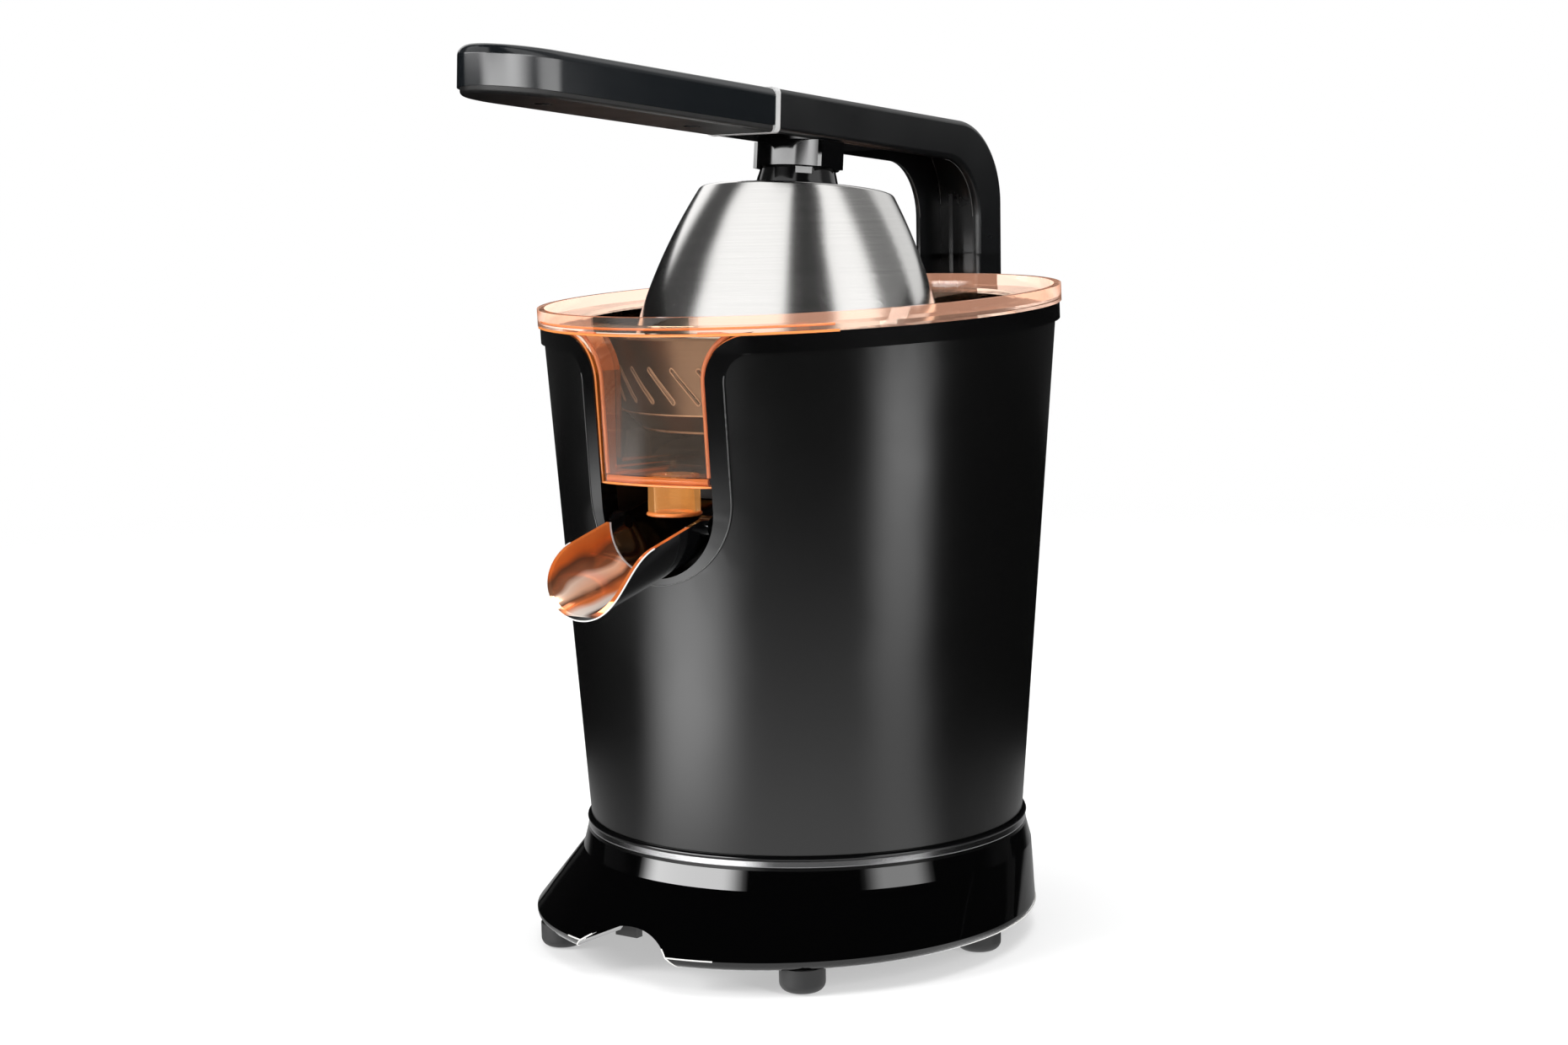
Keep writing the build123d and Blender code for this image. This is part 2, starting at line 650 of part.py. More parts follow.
# Screws that hold the base plate up to the chassis foot
with BuildPart() as base_screws:
    with BuildSketch(level(PLATE_Z, PLATE_Y)):
        with GridLocations(2 * BASE_SCREW_X, 2 * BASE_SCREW_Y, 2, 2):
            Circle(BASE_SCREW_HEAD_R)
    extrude(amount=-BASE_SCREW_HEAD_H)
    with BuildSketch(level(PLATE_Z, PLATE_Y)):
        with GridLocations(2 * BASE_SCREW_X, 2 * BASE_SCREW_Y, 2, 2):
            Circle(BASE_SCREW_R)
    extrude(amount=SKIRT_TOP_Z - SKIRT_DECK_T - PLATE_Z)
save(base_screws, "base_screws")

# Rubber feet under the flange, each with a stem that plugs into it
with BuildPart() as feet:
    with BuildSketch(level(0)):
        with Locations(*foot_spots()):
            Circle(FOOT_R)
    extrude(amount=SKIRT_FOOT_Z)
    fillet(feet.edges().group_by(Axis.Z)[0], FOOT_ROUND)
    with BuildSketch(level(SKIRT_FOOT_Z)):
        with Locations(*foot_spots()):
            Circle(FOOT_STEM_R)
    extrude(amount=FLANGE_T)
save(feet, "feet")

# Grommet in the back of the skirt, where a lead would enter
with BuildPart() as cord_gland:
    with BuildSketch(FRONT.offset(-GLAND_SEAT_Y)):
        with Locations((0, GLAND_Z)):
            Circle(GLAND_FLANGE_R)
    extrude(amount=-GLAND_FLANGE_T)
    with BuildSketch(FRONT.offset(-GLAND_SEAT_Y)):
        with Locations((0, GLAND_Z)):
            Circle(GLAND_R)
    extrude(amount=GLAND_L)
    fillet(cord_gland.edges().group_by(Axis.Y)[-1], GLAND_FLANGE_T / 2)
    with BuildSketch(FRONT.offset(-GLAND_SEAT_Y)):
        with Locations((0, GLAND_Z)):
            Circle(GLAND_BORE_R)
    extrude(amount=GLAND_L + OVERRUN, both=True, mode=Mode.SUBTRACT)
save(cord_gland, "cord_gland")

# Outer shell: a sheet cone, cut off parallel to the rim and slotted at the front
with BuildPart() as outer_shell:
    with BuildSketch(BODY_FRONT):
        with BuildLine():
            cone_section(0, SHELL_T, SHELL_FOOT_Z, RIM_Z + LIP_H)
        make_face()
    revolve(axis=BODY_AXIS)
    split(bisect_by=RIM.offset(-COLLAR_DROP), keep=Keep.BOTTOM)
    with BuildSketch(FRONT):
        with BuildLine():
            round_slot(BEZEL_HALF_W, BEZEL_FLARE_R, BEZEL_LOW_Z, SLOT_TOP_Z - BEZEL_W)
        make_face()
    extrude(amount=FRONT_REACH, mode=Mode.SUBTRACT)
    with BuildSketch(FRONT.offset(-BODY_Y)):
        for z in (BRACKET_SCREW_LOW_Z, BRACKET_SCREW_TOP_Z):
            with Locations((-BRACKET_SCREW_X, z), (BRACKET_SCREW_X, z)):
                Circle(BRACKET_SCREW_R)
    extrude(amount=-FRONT_REACH, mode=Mode.SUBTRACT)
save(outer_shell, "outer_shell")

# Top collar: the ring under the rim, running down round the slot as a bezel
with BuildPart() as top_collar:
    with BuildSketch(FRONT):
        with BuildLine():
            round_slot(BEZEL_HALF_W, BEZEL_FLARE_R, BEZEL_LOW_Z, SLOT_TOP_Z - BEZEL_W)
        make_face()
    extrude(amount=FRONT_REACH)
    with BuildSketch(BODY_FRONT):
        with BuildLine():
            cone_section(BEZEL_PROUD, BEZEL_DEPTH, SLOT_LOW_Z - BEZEL_HALF_W - OVERRUN, RIM_Z + LIP_H)
        make_face()
    revolve(axis=BODY_AXIS, mode=Mode.INTERSECT)
    split(bisect_by=RIM.offset(-LIP_H), keep=Keep.BOTTOM)
    with BuildSketch(RIM.offset(-LIP_H)):
        Circle(COLLAR_R)
        Circle(COLLAR_IN_R, mode=Mode.SUBTRACT)
    extrude(amount=-BEZEL_W)
    with BuildSketch(RIM.offset(-COLLAR_DROP)):
        Circle(SPIGOT_R)
        Circle(SPIGOT_R - SPIGOT_T, mode=Mode.SUBTRACT)
    extrude(amount=-SPIGOT_H)
    with BuildSketch(FRONT):
        with BuildLine():
            round_slot(SLOT_HALF_W, SLOT_FLARE_R, SLOT_LOW_Z, SLOT_TOP_Z)
        make_face()
    extrude(amount=FRONT_REACH, mode=Mode.SUBTRACT)
    with BuildSketch(Plane.YZ.offset(-SPOUT_PIN_END_X)):
        with Locations((AXIS_Y + SPOUT_PIVOT_Y, SPOUT_PIVOT_Z)):
            Circle(SPOUT_PIN_R)
    extrude(amount=2 * SPOUT_PIN_END_X, mode=Mode.SUBTRACT)
save(top_collar, "top_collar")

# Hollow of the bowl's front tongue, cut from the bowl below
with BuildPart() as tongue_core:
    with BuildSketch(FRONT.offset(TONGUE_ROOT)):
        with BuildLine():
            square_slot(
                SLOT_HALF_W - FIT_GAP - BOWL_T,
                SLOT_FLARE_R + FIT_GAP + BOWL_T,
                SLAB_Z + SLAB_T,
                SLOT_TOP_Z + FIT_GAP + BOWL_T,
            )
        make_face()
    extrude(amount=FRONT_REACH)
    with BuildSketch(BODY_FRONT):
        with BuildLine():
            cone_core(TONGUE_RECESS + BOWL_T, SLAB_Z, RIM_Z + LIP_H)
        make_face()
    revolve(axis=BODY_AXIS, mode=Mode.INTERSECT)
    split(bisect_by=RIM.offset(-LIP_H), keep=Keep.BOTTOM)

# Juice bowl: tray rim, round bowl, front window tongue, outlet tube and shaft chimney
with BuildPart() as juice_bowl:
    with BuildSketch(FRONT.offset(TONGUE_ROOT)):
        with BuildLine():
            square_slot(SLOT_HALF_W - FIT_GAP, SLOT_FLARE_R + FIT_GAP, SLAB_Z, SLOT_TOP_Z + FIT_GAP)
        make_face()
    extrude(amount=FRONT_REACH)
    with BuildSketch(BODY_FRONT):
        with BuildLine():
            cone_core(TONGUE_RECESS, SLAB_Z - OVERRUN, RIM_Z + LIP_H)
        make_face()
    revolve(axis=BODY_AXIS, mode=Mode.INTERSECT)
    with BuildSketch(level(BOWL_FLOOR_Z, BODY_Y)):
        Circle(BOWL_R + BOWL_T)
    extrude(amount=RIM_Z + LIP_H - BOWL_FLOOR_Z)
    split(bisect_by=RIM.offset(-LIP_H), keep=Keep.BOTTOM)
    with BuildSketch(RIM_SECTION) as rim_profile:
        with BuildLine():
            Polyline(
                (0, -LIP_H),
                (RIM_R, -LIP_H),
                (RIM_R, 0),
                (RIM_R - LIP_T, 0),
                (RIM_R - LIP_T, -DECK_DROP),
                (0, -DECK_DROP),
                close=True,
            )
        make_face()
        lip_corners = rim_profile.vertices().sort_by(Axis.X)[-4:]
        fillet(lip_corners.filter_by(lambda v: v.Z > RIM_Z - LIP_ROUND), LIP_ROUND)
    revolve(axis=RIM_AXIS)
    with BuildSketch(level(BOWL_FLOOR_Z + BOWL_FLOOR_T, BODY_Y)):
        Circle(BOWL_R)
    extrude(amount=RIM_Z, mode=Mode.SUBTRACT)
    add(tongue_core.part, mode=Mode.SUBTRACT)
    with BuildSketch(level(SLAB_Z - OUTLET_L, OUTLET_Y)):
        Circle(OUTLET_R)
    extrude(amount=OUTLET_L)
    with BuildSketch(level(SLAB_Z - OUTLET_L, OUTLET_Y)):
        Circle(OUTLET_R - OUTLET_T)
    extrude(amount=OUTLET_L + SLAB_T, mode=Mode.SUBTRACT)
    with BuildSketch(level(BOWL_FLOOR_Z)):
        Circle(SHOULDER_R)
    extrude(amount=SHOULDER_Z - BOWL_FLOOR_Z)
    with BuildSketch(level(BOWL_FLOOR_Z)):
        Circle(CHIMNEY_R)
    extrude(amount=CHIMNEY_TOP_Z - BOWL_FLOOR_Z)
    with BuildSketch(level(BOWL_FLOOR_Z)):
        Circle(CHIMNEY_BORE_R)
    extrude(amount=CHIMNEY_TOP_Z, mode=Mode.SUBTRACT)
save(juice_bowl, "juice_bowl")

# Sieve: a spun steel basket on the chimney's shoulder, with slanted slots in its wall and floor
with BuildPart() as sieve:
    with BuildSketch(FRONT):
        with BuildLine():
            outer = Polyline(
                (CHIMNEY_R + FIT_GAP, SHOULDER_Z),
                (SIEVE_FLOOR_R, SHOULDER_Z),
                (SIEVE_FOOT_R, SHOULDER_Z + SIEVE_FOOT_H),
                (SIEVE_TOP_R, SIEVE_TOP_Z),
                (SIEVE_RIM_R, SIEVE_TOP_Z),
            )
            Line(outer @ 1, (SIEVE_RIM_R, SIEVE_TOP_Z + SIEVE_T))
            Polyline(
                (SIEVE_RIM_R, SIEVE_TOP_Z + SIEVE_T),
                (SIEVE_TOP_R - SIEVE_T, SIEVE_TOP_Z + SIEVE_T),
                (SIEVE_FOOT_R - SIEVE_T, SHOULDER_Z + SIEVE_FOOT_H),
                (SIEVE_FLOOR_R - SIEVE_T, SHOULDER_Z + SIEVE_T),
                (CHIMNEY_R + FIT_GAP, SHOULDER_Z + SIEVE_T),
            )
            Line((CHIMNEY_R + FIT_GAP, SHOULDER_Z + SIEVE_T), outer @ 0)
        make_face()
    revolve(axis=PRESS_AXIS)
    for slot in range(SIEVE_SLOTS):
        bearing = 2 * pi * slot / SIEVE_SLOTS
        out = (cos(bearing), sin(bearing), 0)
        along = (-sin(bearing), cos(bearing), 0)
        with BuildSketch(Plane((0, AXIS_Y, SIEVE_SLOT_Z), x_dir=along, z_dir=out)):
            SlotOverall(SIEVE_SLOT_L, SIEVE_SLOT_W, rotation=SIEVE_SLOT_LEAN)
        extrude(amount=SIEVE_RIM_R, mode=Mode.SUBTRACT)
    with BuildSketch(level(SHOULDER_Z)):
        with PolarLocations(SIEVE_FLOOR_SLOT_R, SIEVE_FLOOR_SLOTS):
            SlotOverall(SIEVE_FLOOR_SLOT_L, SIEVE_SLOT_W)
    extrude(amount=SIEVE_T + OVERRUN, mode=Mode.SUBTRACT)
save(sieve, "sieve")

# Chassis: a tub on the base ring whose deck carries the motor below and the gearbox above
with BuildPart() as chassis:
    with BuildSketch(level(SHELL_FOOT_Z)):
        Circle(CHASSIS_R)
    extrude(amount=CHASSIS_TOP_Z - SHELL_FOOT_Z)
    with BuildSketch(level(SHELL_FOOT_Z)):
        Circle(CHASSIS_R - CHASSIS_T)
    extrude(amount=CHASSIS_TOP_Z - SHELL_FOOT_Z - CHASSIS_DECK_T, mode=Mode.SUBTRACT)
    for plane in (FRONT, SIDE):
        with BuildSketch(plane):
            with Locations((0, CHASSIS_WINDOW_Z)):
                Rectangle(CHASSIS_WINDOW_W, CHASSIS_WINDOW_H)
        extrude(amount=CHASSIS_R + OVERRUN, both=True, mode=Mode.SUBTRACT)
    with BuildSketch(level(SHELL_FOOT_Z)):
        Circle(CHASSIS_HOLE_R)
        with PolarLocations(CAN_R + CAN_EAR_R, 2, start_angle=90):
            Circle(MOTOR_SCREW_R)
    extrude(amount=CHASSIS_TOP_Z, mode=Mode.SUBTRACT)
save(chassis, "chassis")

# Motor can with two ears, its end cap, stator stack and windings
CAN_TOP_Z = CHASSIS_TOP_Z - CHASSIS_DECK_T
with BuildPart() as motor_can:
    with BuildSketch(level(CAN_FOOT_Z)):
        Circle(CAN_R)
    extrude(amount=CAN_TOP_Z - CAN_FOOT_Z)
    with BuildSketch(level(CAN_FOOT_Z)):
        Circle(CAN_R - CAN_T)
    extrude(amount=CAN_TOP_Z - CAN_FOOT_Z - CAN_T, mode=Mode.SUBTRACT)
    with BuildSketch(level(CAN_TOP_Z - CAN_T)):
        SlotCenterToCenter(2 * (CAN_R + CAN_EAR_R), 2 * CAN_EAR_R, rotation=90)
    extrude(amount=CAN_T)
    with BuildSketch(level(CAN_TOP_Z - CAN_T)):
        Circle(MOTOR_BUSH_R)
        with PolarLocations(CAN_R + CAN_EAR_R, 2, start_angle=90):
            Circle(MOTOR_SCREW_R)
    extrude(amount=CAN_T, mode=Mode.SUBTRACT)
save(motor_can, "motor_can")

with BuildPart() as motor_end_cap:
    with BuildSketch(level(CAN_FOOT_Z)):
        Circle(CAN_R)
        Circle(MOTOR_BUSH_R, mode=Mode.SUBTRACT)
    extrude(amount=-END_CAP_T)
save(motor_end_cap, "motor_end_cap")

with BuildPart() as motor_stator:
    with BuildSketch(level(STATOR_Z)):
        Circle(CAN_R - CAN_T)
        Circle(STATOR_IN_R, mode=Mode.SUBTRACT)
    extrude(amount=STATOR_H)
save(motor_stator, "motor_stator")

with BuildPart() as motor_windings:
    with BuildSketch(level(STATOR_Z)):
        Circle(WINDING_R)
        Circle(WINDING_IN_R, mode=Mode.SUBTRACT)
    extrude(amount=-WINDING_H)
    with BuildSketch(level(STATOR_Z + STATOR_H)):
        Circle(WINDING_R)
        Circle(WINDING_IN_R, mode=Mode.SUBTRACT)
    extrude(amount=WINDING_H)
    fillet(motor_windings.edges().filter_by(GeomType.CIRCLE).group_by(Axis.Z)[0], WINDING_H / 4)
    fillet(motor_windings.edges().filter_by(GeomType.CIRCLE).group_by(Axis.Z)[-1], WINDING_H / 4)
save(motor_windings, "motor_windings")

# Plain bushes in the can's top and in the end cap
with BuildPart() as motor_bushes:
    for low_z in (CAN_TOP_Z - MOTOR_BUSH_L, CAN_FOOT_Z - END_CAP_T):
        with BuildSketch(level(low_z)):
            Circle(MOTOR_BUSH_R)
            Circle(ROTOR_SHAFT_R + RUN_GAP, mode=Mode.SUBTRACT)
        extrude(amount=MOTOR_BUSH_L)
save(motor_bushes, "motor_bushes")

# Two screws through the can's ears into the chassis deck
with BuildPart() as motor_screws:
    with BuildSketch(level(CAN_TOP_Z - CAN_T)):
        with PolarLocations(CAN_R + CAN_EAR_R, 2, start_angle=90):
            Circle(MOTOR_SCREW_HEAD_R)
    extrude(amount=-MOTOR_SCREW_HEAD_H)
    with BuildSketch(level(CAN_TOP_Z - CAN_T)):
        with PolarLocations(CAN_R + CAN_EAR_R, 2, start_angle=90):
            Circle(MOTOR_SCREW_R)
    extrude(amount=MOTOR_SCREW_L)
save(motor_screws, "motor_screws")

# Rotor: laminated core and commutator on its shaft
with BuildPart() as motor_rotor:
    with BuildSketch(level(ROTOR_FOOT_Z)):
        Circle(ROTOR_SHAFT_R)
    extrude(amount=STAGE_1_Z + STAGE_1_H - ROTOR_FOOT_Z)
    with BuildSketch(level(STATOR_Z)):
        Circle(ROTOR_R)
    extrude(amount=STATOR_H)
    with BuildSketch(level(STATOR_Z + STATOR_H)):
        Circle(COMMUTATOR_R)
    extrude(amount=COMMUTATOR_H)
save(motor_rotor, "motor_rotor")

# Pinion pressed on the rotor shaft's top, in mesh with the idler wheel
with BuildPart() as motor_pinion:
    with BuildSketch(level(STAGE_1_Z)):
        with BuildLine():
            Polyline(*gear_points(PINION_TEETH), close=True)
        make_face()
        Circle(ROTOR_SHAFT_R, mode=Mode.SUBTRACT)
    extrude(amount=STAGE_1_H)
save(motor_pinion, "motor_pinion")

# Cooling fan under the end cap
FAN_TOP_Z = CAN_FOOT_Z - END_CAP_T - FAN_GAP
with BuildPart() as motor_fan:
    with BuildSketch(level(FAN_TOP_Z)):
        Circle(FAN_R)
    extrude(amount=-FAN_T)
    with BuildSketch(level(FAN_TOP_Z - FAN_T)):
        Circle(FAN_HUB_R)
        with PolarLocations(FAN_R / 2, FAN_BLADES):
            Rectangle(FAN_R - 2 * FAN_BLADE_T, FAN_BLADE_T)
    extrude(amount=-FAN_BLADE_H)
    with BuildSketch(level(ROTOR_FOOT_Z)):
        Circle(ROTOR_SHAFT_R)
    extrude(amount=CAN_FOOT_Z, mode=Mode.SUBTRACT)
save(motor_fan, "motor_fan")

# Gearbox housing on the deck, and its cover; the idler axle stands between them
GEAR_MID = Plane((GEAR_CENTRES / 2, AXIS_Y, 0))
GEARBOX_BOSS_Y = GEARBOX_IN_R + GEARBOX_T
with BuildPart() as gearbox_housing:
    with BuildSketch(GEAR_MID.offset(CHASSIS_TOP_Z)):
        SlotCenterToCenter(GEAR_CENTRES, 2 * (GEARBOX_IN_R + GEARBOX_T))
        with GridLocations(GEAR_CENTRES, 2 * GEARBOX_BOSS_Y, 2, 2):
            Circle(GEARBOX_BOSS_R)
    extrude(amount=GEARBOX_TOP_Z - CHASSIS_TOP_Z)
    with BuildSketch(GEAR_MID.offset(CHASSIS_TOP_Z + GEARBOX_FLOOR_T)):
        SlotCenterToCenter(GEAR_CENTRES, 2 * GEARBOX_IN_R)
    extrude(amount=GEARBOX_TOP_Z, mode=Mode.SUBTRACT)
    with BuildSketch(GEAR_MID.offset(CHASSIS_TOP_Z)):
        with Locations((-GEAR_CENTRES / 2, 0)):
            Circle(ROTOR_SHAFT_R + SLIP_GAP)
        with Locations((GEAR_CENTRES / 2, 0)):
            Circle(IDLER_AXLE_R)
    extrude(amount=GEARBOX_FLOOR_T, mode=Mode.SUBTRACT)
    with BuildSketch(GEAR_MID.offset(GEARBOX_TOP_Z)):
        with GridLocations(GEAR_CENTRES, 2 * GEARBOX_BOSS_Y, 2, 2):
            Circle(GEARBOX_SCREW_R)
    extrude(amount=GEARBOX_COVER_T - GEARBOX_SCREW_L, mode=Mode.SUBTRACT)
save(gearbox_housing, "gearbox_housing")

with BuildPart() as gearbox_cover:
    with BuildSketch(GEAR_MID.offset(GEARBOX_TOP_Z)):
        SlotCenterToCenter(GEAR_CENTRES, 2 * (GEARBOX_IN_R + GEARBOX_T))
        with GridLocations(GEAR_CENTRES, 2 * GEARBOX_BOSS_Y, 2, 2):
            Circle(GEARBOX_BOSS_R)
        with Locations((-GEAR_CENTRES / 2, 0)):
            Circle(OUTPUT_BUSH_R, mode=Mode.SUBTRACT)
        with Locations((GEAR_CENTRES / 2, 0)):
            Circle(IDLER_AXLE_R, mode=Mode.SUBTRACT)
        with GridLocations(GEAR_CENTRES, 2 * GEARBOX_BOSS_Y, 2, 2):
            Circle(GEARBOX_SCREW_R, mode=Mode.SUBTRACT)
    extrude(amount=GEARBOX_COVER_T)
save(gearbox_cover, "gearbox_cover")

GEARBOX_LID_Z = GEARBOX_TOP_Z + GEARBOX_COVER_T
with BuildPart() as gearbox_screws:
    with BuildSketch(GEAR_MID.offset(GEARBOX_LID_Z)):
        with GridLocations(GEAR_CENTRES, 2 * GEARBOX_BOSS_Y, 2, 2):
            Circle(GEARBOX_SCREW_HEAD_R)
    extrude(amount=GEARBOX_SCREW_HEAD_H)
    with BuildSketch(GEAR_MID.offset(GEARBOX_LID_Z)):
        with GridLocations(GEAR_CENTRES, 2 * GEARBOX_BOSS_Y, 2, 2):
            Circle(GEARBOX_SCREW_R)
    extrude(amount=-GEARBOX_SCREW_L)
save(gearbox_screws, "gearbox_screws")

IDLER_SPOT = Plane((GEAR_CENTRES, AXIS_Y, 0))
with BuildPart() as idler_axle:
    with BuildSketch(IDLER_SPOT.offset(CHASSIS_TOP_Z)):
        Circle(IDLER_AXLE_R)
    extrude(amount=GEARBOX_LID_Z - CHASSIS_TOP_Z)
save(idler_axle, "idler_axle")

# Idler: a wheel and a pinion in one piece. Each mesh has a gap of one gear facing a tooth of the other.
with BuildPart() as idler_gear:
    with BuildSketch(IDLER_SPOT.offset(STAGE_1_Z)):
        with BuildLine():
            Polyline(*gear_points(IDLER_TEETH, pi + pi / IDLER_TEETH), close=True)
        make_face()
    extrude(amount=STAGE_1_H)
    with BuildSketch(IDLER_SPOT.offset(STAGE_1_Z + STAGE_1_H)):
        with BuildLine():
            Polyline(*gear_points(IDLER_PINION_TEETH, pi), close=True)
        make_face()
    extrude(amount=STAGE_2_Z + STAGE_2_H - STAGE_1_Z - STAGE_1_H)
    with BuildSketch(IDLER_SPOT.offset(STAGE_1_Z)):
        Circle(IDLER_AXLE_R + RUN_GAP)
    extrude(amount=STAGE_2_Z, mode=Mode.SUBTRACT)
save(idler_gear, "idler_gear")

# Output wheel: its hub turns in a bush in the cover, and the shaft slides in its hexagon
with BuildPart() as output_gear:
    with BuildSketch(level(STAGE_2_Z)):
        with BuildLine():
            Polyline(*gear_points(OUTPUT_TEETH, pi / OUTPUT_TEETH), close=True)
        make_face()
    extrude(amount=STAGE_2_H)
    with BuildSketch(level(STAGE_2_Z)):
        Circle(OUTPUT_HUB_R)
    extrude(amount=OUTPUT_HUB_TOP_Z - STAGE_2_Z)
    with BuildSketch(level(STAGE_2_Z)):
        RegularPolygon(SHAFT_HEX_R + RUN_GAP, 6)
    extrude(amount=OUTPUT_HUB_TOP_Z, mode=Mode.SUBTRACT)
save(output_gear, "output_gear")

with BuildPart() as output_bush:
    with BuildSketch(level(GEARBOX_TOP_Z)):
        Circle(OUTPUT_BUSH_R)
        Circle(OUTPUT_HUB_R + RUN_GAP, mode=Mode.SUBTRACT)
    extrude(amount=OUTPUT_BUSH_TOP_Z - GEARBOX_TOP_Z)
save(output_bush, "output_bush")

# Drive shaft: hexagon below, press flange, round journal, hexagon for the reamer on top
with BuildPart() as drive_shaft:
    with BuildSketch(level(SHAFT_FOOT_Z)):
        RegularPolygon(SHAFT_HEX_R, 6)
    extrude(amount=SHAFT_HEX_TOP_Z - SHAFT_FOOT_Z)
    with BuildSketch(level(SHAFT_HEX_TOP_Z)):
        Circle(SHAFT_R)
    extrude(amount=CONE_FOOT_Z - SHAFT_HEX_TOP_Z)
    with BuildSketch(level(PRESS_FLANGE_Z)):
        Circle(PRESS_FLANGE_R)
    extrude(amount=PRESS_FLANGE_T)
    with BuildSketch(level(CONE_FOOT_Z)):
        RegularPolygon(SHAFT_R, 6)
    extrude(amount=SHAFT_TOP_Z - CONE_FOOT_Z)
save(drive_shaft, "drive_shaft")

# Return spring between the bush and the press flange, as the sleeve that its coils fill
with BuildPart() as return_spring:
    with BuildSketch(level(OUTPUT_BUSH_TOP_Z)):
        Circle(SPRING_R)
        Circle(SPRING_R - SPRING_WIRE, mode=Mode.SUBTRACT)
    extrude(amount=PRESS_FLANGE_Z - OUTPUT_BUSH_TOP_Z)
save(return_spring, "return_spring")

# Micro switch on the gearbox cover and the plunger under the press flange
with BuildPart() as micro_switch:
    with BuildSketch(level(GEARBOX_LID_Z)):
        with Locations((SWITCH_X, 0)):
            Rectangle(SWITCH_L, SWITCH_W)
    extrude(amount=SWITCH_H)
    with BuildSketch(level(GEARBOX_LID_Z + SWITCH_H)):
        with Locations((PLUNGER_X, 0)):
            Circle(PLUNGER_R + RUN_GAP)
    extrude(amount=-PLUNGER_DEPTH - RUN_GAP, mode=Mode.SUBTRACT)
save(micro_switch, "micro_switch")

PLUNGER_FOOT_Z = GEARBOX_LID_Z + SWITCH_H - PLUNGER_DEPTH + PRESS_TRAVEL
with BuildPart() as switch_plunger:
    with BuildSketch(level(PLUNGER_FOOT_Z)):
        with Locations((PLUNGER_X, 0)):
            Circle(PLUNGER_R)
    extrude(amount=PRESS_FLANGE_Z - RUN_GAP - PLUNGER_FOOT_Z)
save(switch_plunger, "switch_plunger")

# Bush and lip seal in the bowl's chimney
with BuildPart() as shaft_bush:
    with BuildSketch(level(SHAFT_BUSH_Z)):
        Circle(CHIMNEY_BORE_R)
        Circle(SHAFT_R + RUN_GAP, mode=Mode.SUBTRACT)
    extrude(amount=SHAFT_BUSH_H)
save(shaft_bush, "shaft_bush")

with BuildPart() as shaft_seal:
    with BuildSketch(level(CHIMNEY_TOP_Z - SEAL_H)):
        Circle(CHIMNEY_BORE_R)
        Circle(SHAFT_R + RUN_GAP, mode=Mode.SUBTRACT)
    extrude(amount=SEAL_H + SEAL_LIP)
save(shaft_seal, "shaft_seal")

# Reamer: a ribbed cone on a hollow skirt, with a hexagon socket
with BuildPart() as reamer_cone:
    belly_z = CONE_FOOT_Z + CONE_RIM_H + CONE_H * CONE_BELLY_SHARE
    with BuildSketch(FRONT):
        with BuildLine():
            Line((0, CONE_FOOT_Z), (CONE_R, CONE_FOOT_Z))
            Line((CONE_R, CONE_FOOT_Z), (CONE_R, CONE_FOOT_Z + CONE_RIM_H))
            ThreePointArc(
                (CONE_R, CONE_FOOT_Z + CONE_RIM_H),
                (CONE_BELLY_R, belly_z),
                (CONE_TOP_R, CONE_FOOT_Z + CONE_H),
            )
            Line((CONE_TOP_R, CONE_FOOT_Z + CONE_H), (0, CONE_FOOT_Z + CONE_H))
            Line((0, CONE_FOOT_Z + CONE_H), (0, CONE_FOOT_Z))
        make_face()
    revolve(axis=PRESS_AXIS)
    for rib in range(CONE_RIBS):
        bearing = 2 * pi * rib / CONE_RIBS
        out = (cos(bearing), sin(bearing), 0)
        across = (sin(bearing), -cos(bearing), 0)
        with BuildSketch(Plane((0, AXIS_Y, 0), x_dir=out, z_dir=across)):
            with BuildLine():
                Line((0, CONE_FOOT_Z + CONE_RIM_H), (CONE_R, CONE_FOOT_Z + CONE_RIM_H))
                ThreePointArc(
                    (CONE_R, CONE_FOOT_Z + CONE_RIM_H),
                    (CONE_BELLY_R + CONE_RIB_RISE, belly_z),
                    (CONE_TOP_R / 2, CONE_FOOT_Z + CONE_H + CONE_RIB_RISE),
                )
                Line((CONE_TOP_R / 2, CONE_FOOT_Z + CONE_H + CONE_RIB_RISE), (0, CONE_FOOT_Z + CONE_H))
                Line((0, CONE_FOOT_Z + CONE_H), (0, CONE_FOOT_Z + CONE_RIM_H))
            make_face()
        extrude(amount=CONE_RIB_T / 2, both=True)
    with BuildSketch(FRONT):
        with BuildLine():
            Polyline(
                (CONE_HUB_R, CONE_FOOT_Z),
                (CONE_R - CONE_WALL, CONE_FOOT_Z),
                (CONE_BELLY_R - 2 * CONE_WALL, belly_z - CONE_WALL),
                (CONE_HUB_R, belly_z - CONE_WALL),
                close=True,
            )
        make_face()
    revolve(axis=PRESS_AXIS, mode=Mode.SUBTRACT)
    with BuildSketch(level(CONE_FOOT_Z)):
        RegularPolygon(SHAFT_R, 6)
    extrude(amount=SHAFT_TOP_Z - CONE_FOOT_Z, mode=Mode.SUBTRACT)
save(reamer_cone, "reamer_cone")

# Spout: the gutter's plane lies along its rim line; one long gutter is cut into a dark root and a bright lip
GUTTER = Plane(
    (0, AXIS_Y + SPOUT_RIM_Y, SPOUT_RIM_Z), x_dir=(1, 0, 0), z_dir=(0, -cos(FALL), -sin(FALL))
)
GUTTER_BACK = (SPOUT_BACK_Y - SPOUT_RIM_Y) / cos(FALL)
GUTTER_FRONT = (SPOUT_RIM_Y - SPOUT_TIP_Y) / cos(FALL) + SPOUT_R


def rim_line(y):
    """Height of the gutter's rim line at a distance along Y."""
    return SPOUT_RIM_Z + (y - SPOUT_RIM_Y) * tan(FALL)


